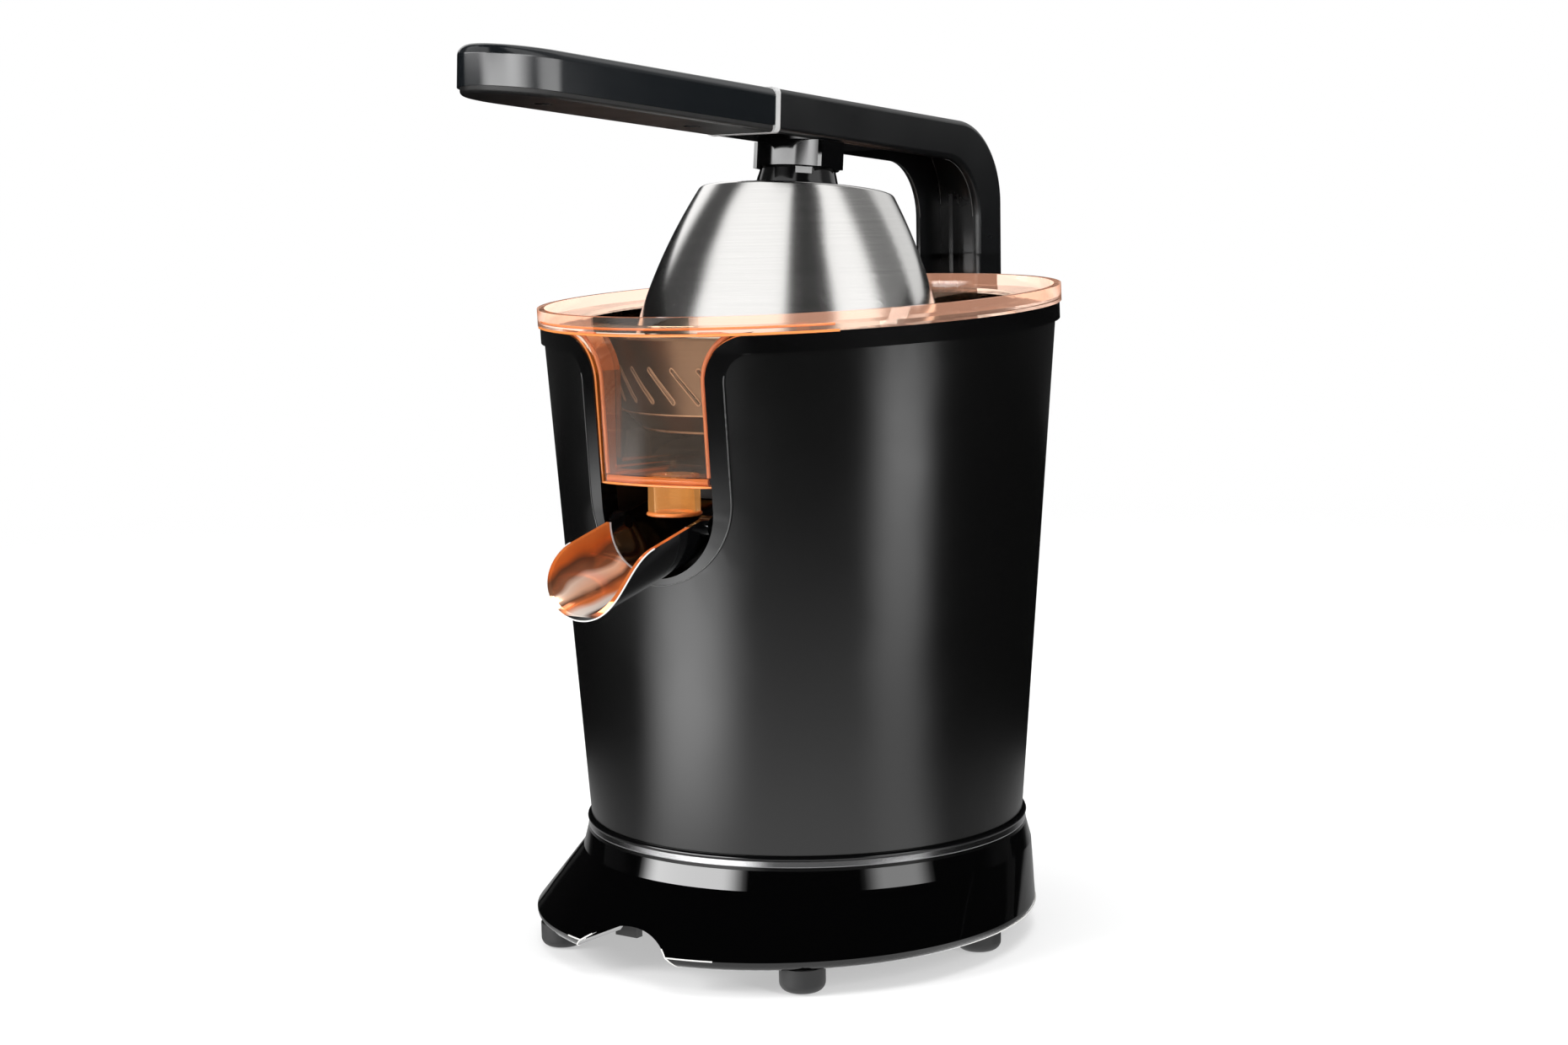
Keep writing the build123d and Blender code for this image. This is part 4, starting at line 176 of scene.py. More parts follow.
def new_group(name, inputs, outputs):
    """An empty shader group with named float inputs and named outputs."""
    group = bpy.data.node_groups.new(name, "ShaderNodeTree")
    for label, value in inputs.items():
        socket = group.interface.new_socket(label, in_out="INPUT", socket_type="NodeSocketFloat")
        socket.default_value = value
    for label, kind in outputs.items():
        group.interface.new_socket(label, in_out="OUTPUT", socket_type=kind)
    entry = add_node(group, "NodeGroupInput", (-600, 0))
    leave = add_node(group, "NodeGroupOutput", (600, 0))
    return group, entry, leave


def make_grain_group():
    """Fine grain: two sizes of noise added into one height."""
    group, entry, leave = new_group(
        "surface_grain",
        {"Grains per metre": 2500.0, "Coarse share": 0.35},
        {"Height": "NodeSocketFloat"},
    )
    where = add_node(group, "ShaderNodeTexCoord", (-600, 300))
    fine = add_node(group, "ShaderNodeTexNoise", (-200, 200), detail=2.0)
    coarse = add_node(group, "ShaderNodeTexNoise", (-200, -100), detail=3.0)
    wider = add_node(group, "ShaderNodeMath", (-400, -100), operation="MULTIPLY")
    wider.inputs[1].default_value = COARSE_SCALE
    blend = add_node(group, "ShaderNodeMix", (200, 0))
    wire(
        group,
        (where, "Object", fine, "Vector"),
        (where, "Object", coarse, "Vector"),
        (entry, "Grains per metre", fine, "Scale"),
        (entry, "Grains per metre", wider, 0),
        (wider, 0, coarse, "Scale"),
        (entry, "Coarse share", blend, 0),
        (fine, "Fac", blend, VALUE_A),
        (coarse, "Fac", blend, VALUE_B),
        (blend, 0, leave, "Height"),
    )
    return group


def make_smudge_group():
    """Cloudy gloss: a slow noise mapped between two roughness values."""
    group, entry, leave = new_group(
        "cloudy_gloss",
        {"Clouds per metre": 30.0, "Glossy": 0.2, "Dull": 0.3},
        {"Roughness": "NodeSocketFloat", "Mask": "NodeSocketFloat"},
    )
    where = add_node(group, "ShaderNodeTexCoord", (-600, 300))
    cloud = add_node(group, "ShaderNodeTexNoise", (-200, 200), detail=4.0, roughness=0.6)
    spread = add_node(group, "ShaderNodeMapRange", (200, 0))
    spread.inputs["From Min"].default_value = CLOUD_LOW
    spread.inputs["From Max"].default_value = CLOUD_HIGH
    wire(
        group,
        (where, "Object", cloud, "Vector"),
        (entry, "Clouds per metre", cloud, "Scale"),
        (cloud, "Fac", spread, "Value"),
        (entry, "Glossy", spread, "To Min"),
        (entry, "Dull", spread, "To Max"),
        (spread, "Result", leave, "Roughness"),
        (cloud, "Fac", leave, "Mask"),
    )
    return group


GRAIN = make_grain_group()
SMUDGE = make_smudge_group()
print("groups:", GRAIN.name, SMUDGE.name)

# %% [markdown]
# ## Plastics and paint
#
# The press is mostly black: satin paint on the shell's sheet, a polished foot, satin mouldings on
# the arm. Black parts read by their gloss alone, so each has its own roughness and grain.

# %% Black, grey and coloured mouldings
GRAIN_DEPTH = 0.00002  # metres
CLOUD_SHADE = 0.85  # how dark the clouds are against the plain colour


def place_group(tree, group, place, **values):
    """A shared group in a material, with its own values."""
    node = add_node(tree, "ShaderNodeGroup", place)
    node.node_tree = group
    for key, value in values.items():
        node.inputs[key.replace("_", " ")].default_value = value
    return node


def moulded(name, colour, glossy, dull, grains, bump):
    """A moulded or painted surface: tinted clouds, cloudy gloss and fine grain."""
    material, tree, shader = new_material(name)
    smudge = place_group(tree, SMUDGE, (-600, 0), Glossy=glossy, Dull=dull)
    grain = place_group(tree, GRAIN, (-600, -300), Grains_per_metre=grains)
    tint = add_node(tree, "ShaderNodeMix", (-300, 200), data_type="RGBA")
    tint.inputs[COLOUR_A].default_value = (*colour, 1)
    tint.inputs[COLOUR_B].default_value = (*(CLOUD_SHADE * part for part in colour), 1)
    rough = add_node(tree, "ShaderNodeBump", (-300, -300), strength=bump, distance=GRAIN_DEPTH)
    wire(
        tree,
        (smudge, "Mask", tint, 0),
        (tint, COLOUR_OUT, shader, "Base Color"),
        (smudge, "Roughness", shader, "Roughness"),
        (grain, "Height", rough, "Height"),
        (rough, "Normal", shader, "Normal"),
    )
    return material


SHELL_PAINT = moulded("shell_satin_paint", (0.0022, 0.0022, 0.0022), 0.2, 0.235, 1800, 0.06)
FOOT_GLOSS = moulded("foot_polish", (0.0008, 0.0008, 0.0009), 0.03, 0.05, 900, 0.01)
COLLAR_SATIN = moulded("collar_black", (0.0016, 0.0016, 0.0017), 0.09, 0.13, 2500, 0.05)
ARM_SATIN = moulded("arm_black", (0.0038, 0.0041, 0.0045), 0.27, 0.34, 3200, 0.12)
GRIP_SLATE = moulded("grip_slate", (0.0062, 0.0076, 0.009), 0.13, 0.17, 3200, 0.12)
UNDER_MATTE = moulded("underside_matte", (0.006, 0.006, 0.006), 0.42, 0.55, 4000, 0.3)
HUB_GLOSS = moulded("hub_gloss", (0.002, 0.002, 0.0022), 0.07, 0.12, 2000, 0.02)
FOOT_RUBBER = moulded("foot_rubber", (0.012, 0.012, 0.0122), 0.55, 0.75, 5000, 0.4)
FRAME_GREY = moulded("frame_grey", (0.06, 0.06, 0.063), 0.4, 0.55, 3000, 0.2)
GEAR_WHITE = moulded("gear_nylon", (0.72, 0.7, 0.64), 0.35, 0.5, 2500, 0.1)
CONE_ORANGE = moulded("cone_orange", (0.72, 0.19, 0.02), 0.15, 0.25, 2000, 0.05)
TRIM_PAINT = moulded("trim_silver_paint", (0.55, 0.55, 0.55), 0.2, 0.3, 3000, 0.05)
STEP_LINE_GREY = moulded("step_line_grey", (0.42, 0.42, 0.42), 0.15, 0.25, 900, 0.02)
# Painted highlights: these line finishes stand in for the light that edges catch.
GREY_HIGHLIGHT_LINE = moulded("painted_grey_highlight", (0.06, 0.06, 0.06), 0.2, 0.3, 900, 0.02)
WHITE_HIGHLIGHT_LINE = moulded("painted_white_highlight", (0.82, 0.81, 0.79), 0.1, 0.2, 900, 0.02)
SLOT_HIGHLIGHT_LINE = moulded("painted_slot_highlight", (0.62, 0.55, 0.49), 0.2, 0.3, 900, 0.02)
print("mouldings:", len([m for m in bpy.data.materials if m.use_nodes]))

# %% [markdown]
# ## Metals
#
# The dome is spun sheet steel, and the tool leaves fine rings round it. Rings one after another,
# far closer together than they are long, stretch every highlight into an upright band. They are
# made as noise that changes fast along the dome's axis and slowly across it.

# %% Brushed and plain metal
RINGS_ACROSS = 18.0  # changes per metre along a ring
RING_SHADE = 0.86  # how dark a ring can be against the plain colour


def ringed_metal(name, colour, glossy, dull, axis_turn=0.0, rings=2600.0, bump=0.25, metallic=1.0):
    """Metal with fine rings round an axis near the upright one, leaning back by axis_turn."""
    material, tree, shader = new_material(name, metallic=metallic)
    where = add_node(tree, "ShaderNodeTexCoord", (-1100, 0))
    stretch = add_node(tree, "ShaderNodeMapping", (-900, 0))
    stretch.inputs["Rotation"].default_value = (axis_turn, 0, 0)
    stretch.inputs["Scale"].default_value = (RINGS_ACROSS, RINGS_ACROSS, rings)
    lines = add_node(tree, "ShaderNodeTexNoise", (-650, 0), scale=1.0, detail=3.0, roughness=0.6)
    tint = add_node(tree, "ShaderNodeMix", (-300, 200), data_type="RGBA")
    tint.inputs[COLOUR_A].default_value = (*(RING_SHADE * part for part in colour), 1)
    tint.inputs[COLOUR_B].default_value = (*colour, 1)
    gloss = add_node(tree, "ShaderNodeMapRange", (-300, 0))
    gloss.inputs["To Min"].default_value = glossy
    gloss.inputs["To Max"].default_value = dull
    rough = add_node(tree, "ShaderNodeBump", (-300, -300), strength=bump, distance=GRAIN_DEPTH)
    wire(
        tree,
        (where, "Object", stretch, "Vector"),
        (stretch, "Vector", lines, "Vector"),
        (lines, "Fac", tint, 0),
        (lines, "Fac", gloss, "Value"),
        (lines, "Fac", rough, "Height"),
        (tint, COLOUR_OUT, shader, "Base Color"),
        (gloss, "Result", shader, "Roughness"),
        (rough, "Normal", shader, "Normal"),
    )
    return material


DOME_LEAN = radians(6.3)
DOME_STEEL = ringed_metal("dome_brushed_steel", (0.7, 0.69, 0.675), 0.13, 0.21, DOME_LEAN)
SIEVE_STEEL = ringed_metal("sieve_steel", (0.24, 0.215, 0.195), 0.34, 0.46, rings=900)
WORKS_STEEL = ringed_metal("works_steel", (0.45, 0.45, 0.45), 0.3, 0.45, rings=700)
BLACK_STEEL = ringed_metal("black_steel", (0.035, 0.035, 0.036), 0.3, 0.45, rings=700)
BRONZE = ringed_metal("bush_bronze", (0.5, 0.34, 0.14), 0.35, 0.5, rings=900)
COPPER = ringed_metal("winding_copper", (0.6, 0.25, 0.1), 0.3, 0.45, rings=2200)
print("metals:", DOME_STEEL.name, SIEVE_STEEL.name, WORKS_STEEL.name, BLACK_STEEL.name)

# %% [markdown]
# ## The silver ring
#
# A bright bevel runs round the top of the foot, and the moulding just below it is black. Both are
# one piece of the frame. It could be cut in two, but a height in object coordinates tells well
# enough where the polish ends, and keeps the piece whole.

# %% A polish that ends at a height
RING_SPLIT = 0.42  # share of the ring's height that is left black
RING_BLUR = 0.00015
RING_BLACK = grey(0.002)
RING_SILVER = ringed_metal("ring_silver", (0.72, 0.72, 0.73), 0.1, 0.16, rings=400, bump=0.03)
RING_LOW, RING_HIGH = (corner[2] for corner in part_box("base_trim_ring"))
RING_POLISH_Z = RING_LOW + RING_SPLIT * (RING_HIGH - RING_LOW)


def blacken_below(material, height, blur):
    """A polished metal that is left black below a height."""
    tree = material.node_tree
    shader = tree.nodes["Principled BSDF"]
    tint = shader.inputs["Base Color"].links[0].from_node
    where = add_node(tree, "ShaderNodeTexCoord", (-700, 600))
    split = add_node(tree, "ShaderNodeSeparateXYZ", (-500, 600))
    share = add_node(tree, "ShaderNodeMapRange", (-300, 600))
    share.inputs["From Min"].default_value = height - blur
    share.inputs["From Max"].default_value = height + blur
    blend = add_node(tree, "ShaderNodeMix", (-100, 400), data_type="RGBA")
    blend.inputs[COLOUR_A].default_value = RING_BLACK
    wire(
        tree,
        (where, "Object", split, "Vector"),
        (split, "Z", share, "Value"),
        (share, "Result", blend, 0),
        (tint, COLOUR_OUT, blend, COLOUR_B),
        (blend, COLOUR_OUT, shader, "Base Color"),
        (share, "Result", shader, "Metallic"),
    )


blacken_below(RING_SILVER, RING_POLISH_Z, RING_BLUR)
print("ring polished above z", round(RING_POLISH_Z, 4))

# %% [markdown]
# ## The spout's lip
#
# The lip is polished like copper. What such a gutter mirrors changes fast round it and slowly along
# it, and those reflections are painted into its colour: a colour ramp, read by the turn round the
# gutter, gives painted reflections that show from every side, and a slow noise lets them waver. The
# turn is written on the mesh further on, as an attribute.

# %% Painted reflections round the gutter
REFLECTION_WAVER = 0.09  # how far the tints shift along the gutter, as a share of its turn
WAVERS = 60.0  # per metre
# The lip is part real polished metal; its base colour carries the painted reflections set below.
SPOUT_MIRROR = ringed_metal(
    "spout_mirror", (1.0, 0.64, 0.45), 0.05, 0.08, rings=200, bump=0.02, metallic=0.45
)
# Painted reflections: bands of orange, dark brown and near white that stand for what the gutter
# mirrors.
PAINTED_GUTTER_REFLECTIONS = [
    (0.0, (0.88, 0.22, 0.05)), (0.09, (0.75, 0.15, 0.03)), (0.14, (0.16, 0.06, 0.03)),
    (0.22, (0.3, 0.13, 0.07)), (0.26, (1.0, 0.78, 0.64)), (0.31, (0.95, 0.6, 0.42)),
    (0.35, (0.2, 0.085, 0.045)), (0.41, (0.85, 0.24, 0.07)), (0.47, (1.0, 0.84, 0.74)),
    (0.54, (1.0, 0.9, 0.82)), (0.6, (0.14, 0.06, 0.04)), (0.68, (0.8, 0.2, 0.05)),
]


def paint_gutter_reflections(material, tints):
    """Painted reflections in the base colour that follow the turn round the gutter, with a slow
    waver along it.
    """
    tree = material.node_tree
    shader = tree.nodes["Principled BSDF"]
    read = add_node(tree, "ShaderNodeAttribute", (-900, 500), attribute_name="gutter_turn")
    where = add_node(tree, "ShaderNodeTexCoord", (-1100, 700))
    waver = add_node(tree, "ShaderNodeTexNoise", (-900, 700), scale=WAVERS, detail=1.0)
    shift = add_node(tree, "ShaderNodeMapRange", (-700, 700))
    shift.inputs["To Min"].default_value = -REFLECTION_WAVER
    shift.inputs["To Max"].default_value = REFLECTION_WAVER
    total = add_node(tree, "ShaderNodeMath", (-500, 500), operation="ADD")
    ramp = add_node(tree, "ShaderNodeValToRGB", (-300, 500))
    for at, _ in tints[2:]:
        ramp.color_ramp.elements.new(at)
    for element, (at, tint) in zip(ramp.color_ramp.elements, tints):
        element.position = at
        element.color = (*tint, 1)
    wire(
        tree,
        (where, "Object", waver, "Vector"),
        (waver, "Fac", shift, "Value"),
        (read, "Fac", total, 0),
        (shift, "Result", total, 1),
        (total, 0, ramp, "Fac"),
        (ramp, "Color", shader, "Base Color"),
    )


paint_gutter_reflections(SPOUT_MIRROR, PAINTED_GUTTER_REFLECTIONS)
print("tints round the gutter:", len(PAINTED_GUTTER_REFLECTIONS))

# %% [markdown]
# ## Clear orange plastic
#
# The bowl is one clear moulding. Light runs along inside its walls and leaves at the edges, so the
# edges look a strong orange and the flat walls a pale peach. A transmitting shader on the closed
# solid gives the pale walls. The rim and edges take stronger tints of the same shader with a
# painted glow, an emission that stands in for the light leaving there.

# %% Clear orange
CLEAR_IOR = 1.47
FLOW_MARKS = 120.0  # per metre
FLOW_BUMP, FLOW_DEPTH = 0.02, 0.0001


def clear_orange(name, colour, roughness, glow=0.0, warm=(1.0, 0.27, 0.05)):
    """A clear tinted moulding with faint flow marks, and a painted glow, an emission that stands in
    for light leaving at edges.
    """
    material, tree, shader = new_material(
        name, transmission_weight=1.0, ior=CLEAR_IOR, base_color=(*colour, 1), roughness=roughness
    )
    shader.inputs["Emission Color"].default_value = (*warm, 1)
    shader.inputs["Emission Strength"].default_value = glow
    grain = place_group(tree, GRAIN, (-600, -300), Grains_per_metre=FLOW_MARKS)
    rough = add_node(tree, "ShaderNodeBump", (-300, -300), strength=FLOW_BUMP, distance=FLOW_DEPTH)
    wire(tree, (grain, "Height", rough, "Height"), (rough, "Normal", shader, "Normal"))
    return material


BOWL_CLEAR = clear_orange("bowl_clear", (1.0, 0.78, 0.61), 0.015)
# The rim, edge, outlet and floor finishes are painted light: deeper orange tints and an emission
# glow stand in for light leaving the bowl's edges.
BOWL_RIM = clear_orange("bowl_rim", (1.0, 0.8, 0.68), 0.04, glow=0.2, warm=(1.0, 0.5, 0.33))
BOWL_EDGE = clear_orange("bowl_edge", (1.0, 0.52, 0.22), 0.06, glow=0.12)
BOWL_AMBER = clear_orange(
    "bowl_outlet", (1.0, 0.76, 0.45), 0.015, glow=0.13, warm=(1.0, 0.45, 0.14)
)
BOWL_SLAB = clear_orange("bowl_slab", (1.0, 0.55, 0.27), 0.05, glow=0.42, warm=(1.0, 0.42, 0.14))
# Orange lines of painted glow, set along the bowl's edges, inner corners, outlet and floor front.
BOWL_PAINTED_GLOW = moulded("bowl_edge_line", (0.93, 0.3, 0.08), 0.1, 0.2, 800, 0.02)
BOWL_PAINTED_INNER_GLOW = moulded("bowl_inner_line", (1.0, 0.42, 0.24), 0.1, 0.2, 800, 0.02)
print("clear:", BOWL_CLEAR.name, BOWL_RIM.name, BOWL_EDGE.name, BOWL_AMBER.name)

# %% [markdown]
# ## Dressing the solids
#
# A solid arrives as loose triangles, flat shaded. A merged copy can be shaded smooth, with its real
# edges kept sharp by their angle, and it then stands for the solid. The Weighted Normal modifier
# lets large faces lead the shading, so that thin slivers beside them leave no streaks in the gloss.

# %% Smooth copies
SMOOTH_ANGLE = radians(32)
MERGE_GAP, SLIVER = 1e-6, 1e-7
EVEN_WEIGHT = 90


def smooth_copy(node, material, angle=SMOOTH_ANGLE):
    """A merged, smooth-shaded copy of a solid, which replaces it and rides on the same body."""
    source = NODES[node]
    mesh = source.data.copy()
    mesh.name = node + "_skin"
    work = bmesh.new()
    work.from_mesh(mesh)
    bmesh.ops.remove_doubles(work, verts=work.verts, dist=MERGE_GAP)
    bmesh.ops.dissolve_degenerate(work, edges=work.edges, dist=SLIVER)
    for edge in work.edges:
        edge.smooth = len(edge.link_faces) == 2 and edge.calc_face_angle(pi) < angle
    for face in work.faces:
        face.smooth = True
    work.to_mesh(mesh)
    work.free()
    mesh.materials.clear()
    mesh.materials.append(material)
    piece = bpy.data.objects.new(node + "_skin", mesh)
    bpy.context.scene.collection.objects.link(piece)
    even = piece.modifiers.new("even", "WEIGHTED_NORMAL")
    even.keep_sharp = True
    even.weight = EVEN_WEIGHT
    evaluated = piece.evaluated_get(bpy.context.evaluated_depsgraph_get())
    shaded = bpy.data.meshes.new_from_object(evaluated)
    piece.modifiers.remove(even)
    piece.data = shaded
    shaded.name = node + "_skin"
    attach(piece, source["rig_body"])
    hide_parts(node)
    return piece


FINISHES = {
    SHELL_PAINT: ["outer_shell"],
    FOOT_GLOSS: ["base_skirt"],
    RING_SILVER: ["base_trim_ring"],
    COLLAR_SATIN: ["top_collar"],
    ARM_SATIN: ["arm_shell", "rear_bracket"],
    GRIP_SLATE: ["grip_cover"],
    UNDER_MATTE: ["grip_underside", "base_plate", "dome_liner", "spout_well", "micro_switch"],
    HUB_GLOSS: ["hub_boss", "dome_neck", "spout_trough"],
    FOOT_RUBBER: ["feet", "cord_gland", "shaft_seal"],
    FRAME_GREY: ["chassis", "gearbox_housing", "gearbox_cover", "motor_fan"],
    GEAR_WHITE: ["idler_gear", "output_gear"],
    CONE_ORANGE: ["reamer_cone", "switch_plunger"],
    DOME_STEEL: ["press_dome"],
    SIEVE_STEEL: ["sieve"],
    TRIM_PAINT: ["grip_trim"],
    SPOUT_MIRROR: ["spout_lip"],
    BRONZE: ["arm_bushes", "motor_bushes", "output_bush", "shaft_bush"],
    COPPER: ["motor_windings"],
    BOWL_CLEAR: ["juice_bowl"],
    BLACK_STEEL: ["arm_pin", "spout_pins"],
    WORKS_STEEL: [
        "arm_core", "bracket_plate", "dome_screw", "drive_shaft", "gearbox_screws", "idler_axle",
        "motor_can", "motor_end_cap", "motor_pinion", "motor_rotor", "motor_screws", "motor_stator",
    ],
}
CREASED = {"base_skirt": radians(9), "outer_shell": radians(20)}
skins = {}
for material, names in FINISHES.items():
    for name in names:
        skins[name] = smooth_copy(name, material, CREASED.get(name, SMOOTH_ANGLE))
print("dressed:", len(skins), "of", len(NODES))

# %% [markdown]
# ## One moulding, several finishes
#
# The bowl looks pale through its walls and strong orange where its edges face the eye; those faces
# take finishes with painted glow. The spout's inside carries painted reflections and its outside is
# black. Each is one piece, so its faces take a second or third material, chosen by where a face
# lies and which way it points.

# %% Faces of the bowl
MM = 0.001
HAIR = 0.1 * MM
RIM_TOP_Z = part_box("juice_bowl")[1][2]
RIM_LOW_Z = max(RIM_TOP_Z - 16 * MM, 200 * MM)
RIM_R = 83 * MM  # the rim lies outside this
SLAB_Z, SLAB_T = 157.8 * MM, 3.0 * MM  # the tongue's floor
OUTLET_Y = AXIS_Y - 67 * MM
WALL_IN_X = 20.0 * MM  # inner faces of the tongue's side walls
WALL_HALF_T = 0.5 * MM
TONGUE_Y = AXIS_Y - 55 * MM  # the tongue lies in front of this
TONGUE_UNDER_Z = 190 * MM
BODY_AT = Vector((0, sum(corner[1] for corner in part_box("base_trim_ring")) / 2, 0))


def paint_faces(piece, materials, choose):
    """More materials on a piece; choose gives a face's place in the list from how it lies."""
    mesh = piece.data
    for material in materials:
        mesh.materials.append(material)
    for face in mesh.polygons:
        corners = [mesh.vertices[i].co for i in face.vertices]
        face.material_index = choose(face.center, face.normal, corners)
    picked = [face.material_index for face in mesh.polygons]
    return [picked.count(i) for i in range(len(mesh.materials))]


def bowl_finish(middle, normal, corners):
    """0 clear wall; with painted glow: 1 rim, 2 edge, 3 outlet tube, 4 the front of the tongue's
    floor.
    """
    in_front = middle.y < TONGUE_Y
    if middle.z < SLAB_Z - HAIR:
        return 3
    in_floor = middle.z < SLAB_Z + SLAB_T + HAIR
    if in_floor and normal.y < -0.6 and middle.y < OUTLET_Y - 5 * MM:
        return 4
    if (middle - BODY_AT).xy.length > RIM_R and middle.z > RIM_LOW_Z:
        over_window = in_front and abs(middle.x) < WALL_IN_X
        return 0 if over_window and normal.z < 0.5 else 1
    side = abs(middle.x) > WALL_IN_X + WALL_HALF_T and abs(normal.x) > 0.55
    below = middle.z < TONGUE_UNDER_Z and normal.z < -0.6
    return 2 if in_front and (side or below) else 0


BOWL_FINISHES = [BOWL_RIM, BOWL_EDGE, BOWL_AMBER, BOWL_SLAB]
print("bowl faces:", paint_faces(skins["juice_bowl"], BOWL_FINISHES, bowl_finish))

# %% Faces of the spout
SPOUT_FALL = radians(14.7)
SPOUT_IN_R = 15.2 * MM
LIP_INSIDE_R, LIP_OUTSIDE_R = SPOUT_IN_R + 0.4 * MM, SPOUT_IN_R + 1.2 * MM
SPOUT_RIM = Vector((0, AXIS_Y - 76.015 * MM, 147 * MM))
SPOUT_ALONG = Vector((0, -cos(SPOUT_FALL), -sin(SPOUT_FALL)))
SPOUT_UP = Vector((0, -sin(SPOUT_FALL), cos(SPOUT_FALL)))


def from_gutter(spot):
    """The way to a spot, straight out from the line along the middle of the gutter's rim."""
    from_rim = spot - SPOUT_RIM
    return from_rim - from_rim.dot(SPOUT_ALONG) * SPOUT_ALONG


def spout_finish(middle, normal, corners):
    """0 inside with painted reflections, 1 black outside, 2 rim."""
    reaches = [from_gutter(corner).length for corner in corners]
    if max(reaches) < LIP_INSIDE_R:
        return 0
    return 1 if min(reaches) > LIP_OUTSIDE_R else 2


def mark_turn(piece):
    """The turn round the gutter at each point, 0 at its left rim and 1 at its right."""
    mesh = piece.data
    marks = mesh.attributes.new("gutter_turn", "FLOAT", "POINT")
    for vert in mesh.vertices:
        out = vert.co - SPOUT_RIM
        down = -out.dot(SPOUT_UP)
        marks.data[vert.index].value = 0.5 + atan2(out.x, max(down, 0)) / pi


print("lip faces:", paint_faces(skins["spout_lip"], [HUB_GLOSS, SPOUT_MIRROR], spout_finish))
mark_turn(skins["spout_lip"])

# %% [markdown]
# ## Exact normals where a mirror would show facets
#
# Polish shows every facet of a round face. Far more faces would hide them, but where a form is
# known its normals can be worked out: straight out from the gutter's line on the lip, and leaning
# up by the flare on the steep band round the foot's top.

# %% The gutter's round and the foot's band
BAND_LOW_Z, BAND_HIGH_Z = 28.2 * MM, 34.6 * MM
BAND_FLARE = 1.7 * MM
BAND_SLACK = 0.05 * MM


def true_normals(piece, choose, exact):
    """Exact normals on the faces that choose picks; exact gives the normal at a face's corner."""
    mesh = piece.data
    normals = [tuple(corner.vector) for corner in mesh.corner_normals]
    picked = [face for face in mesh.polygons if choose(mesh, face)]
    for face in picked:
        for loop in face.loop_indices:
            spot = mesh.vertices[mesh.loops[loop].vertex_index].co
            normals[loop] = tuple(exact(face, spot))
    count = len(picked)
    mesh.normals_split_custom_set(normals)
    return count


def in_round(mesh, face):
    """True on the gutter's round faces, inside and outside."""
    return face.material_index < 2


def round_normal(face, spot):
    """Straight out from the gutter's line on its outside, straight in on its inside."""
    return from_gutter(spot).normalized() * (1 if face.material_index else -1)


def in_band(mesh, face):
    """True on the outer faces of the steep band."""
    heights = [mesh.vertices[i].co.z for i in face.vertices]
    inside = min(heights) > BAND_LOW_Z - BAND_SLACK and max(heights) < BAND_HIGH_Z + BAND_SLACK
    return inside and (face.center - BODY_AT).xy.normalized().dot(face.normal.xy) > 0.8


def band_normal(face, spot):
    """Out from the body's middle, leaning up by the band's flare."""
    out = (spot - BODY_AT).xy.normalized()
    return Vector((out.x, out.y, BAND_FLARE / (BAND_HIGH_Z - BAND_LOW_Z))).normalized()


print("round faces:", true_normals(skins["spout_lip"], in_round, round_normal))
print("band faces:", true_normals(skins["base_skirt"], in_band, band_normal))

# %% [markdown]
# ## Lines along edges
# The bowl's corners shine as thin orange lines, and the foot's arch, the spout's rim and the
# sieve's slots as thin bright ones. Those lines are painted glow and painted highlights: thin beads
# in orange, white, pale or grey finishes along the edges, where light would catch them. A line that
# follows an edge is a job for Geometry Nodes: the edges are picked out of the dressed mesh as bare
# edges, and a node tree turns them into a curve with a small round section.

# %% A node tree for beads along edges


def new_tree(name, inputs):
    """An empty geometry tree with named inputs, and their identifiers by name."""
    tree = bpy.data.node_groups.new(name, "GeometryNodeTree")
    tree.interface.new_socket("Geometry", in_out="INPUT", socket_type="NodeSocketGeometry")
    keys = {}
    for label, kind in inputs.items():
        keys[label] = tree.interface.new_socket(label, in_out="INPUT", socket_type=kind).identifier
    tree.interface.new_socket("Geometry", in_out="OUTPUT", socket_type="NodeSocketGeometry")
    entry = add_node(tree, "NodeGroupInput", (-800, 0))
    leave = add_node(tree, "NodeGroupOutput", (800, 0))
    return tree, keys, entry, leave


def make_bead_tree():
    """Edges to curves, curves to round beads."""
    inputs = {
        "Bead radius": "NodeSocketFloat",
        "Bead sides": "NodeSocketInt",
        "Finish": "NodeSocketMaterial",
    }
    tree, keys, entry, leave = new_tree("edge_bead", inputs)
    path = add_node(tree, "GeometryNodeMeshToCurve", (-500, 100))
    ring = add_node(tree, "GeometryNodeCurvePrimitiveCircle", (-500, -100), mode="RADIUS")
    sweep = add_node(tree, "GeometryNodeCurveToMesh", (-200, 0))
    sweep.inputs["Fill Caps"].default_value = True
    smooth = add_node(tree, "GeometryNodeSetShadeSmooth", (0, 0))
    real = add_node(tree, "GeometryNodeRealizeInstances", (200, 0))
    finish = add_node(tree, "GeometryNodeSetMaterial", (450, 0))
    wire(
        tree,
        (entry, "Geometry", path, "Mesh"),
        (entry, "Bead sides", ring, "Resolution"),
        (entry, "Bead radius", ring, "Radius"),
        (path, "Curve", sweep, "Curve"),
        (ring, "Curve", sweep, "Profile Curve"),
        (sweep, "Mesh", smooth, "Geometry"),
        (smooth, "Geometry", real, "Geometry"),
        (real, "Geometry", finish, "Geometry"),
        (entry, "Finish", finish, "Material"),
        (finish, "Geometry", leave, "Geometry"),
    )
    return tree, keys


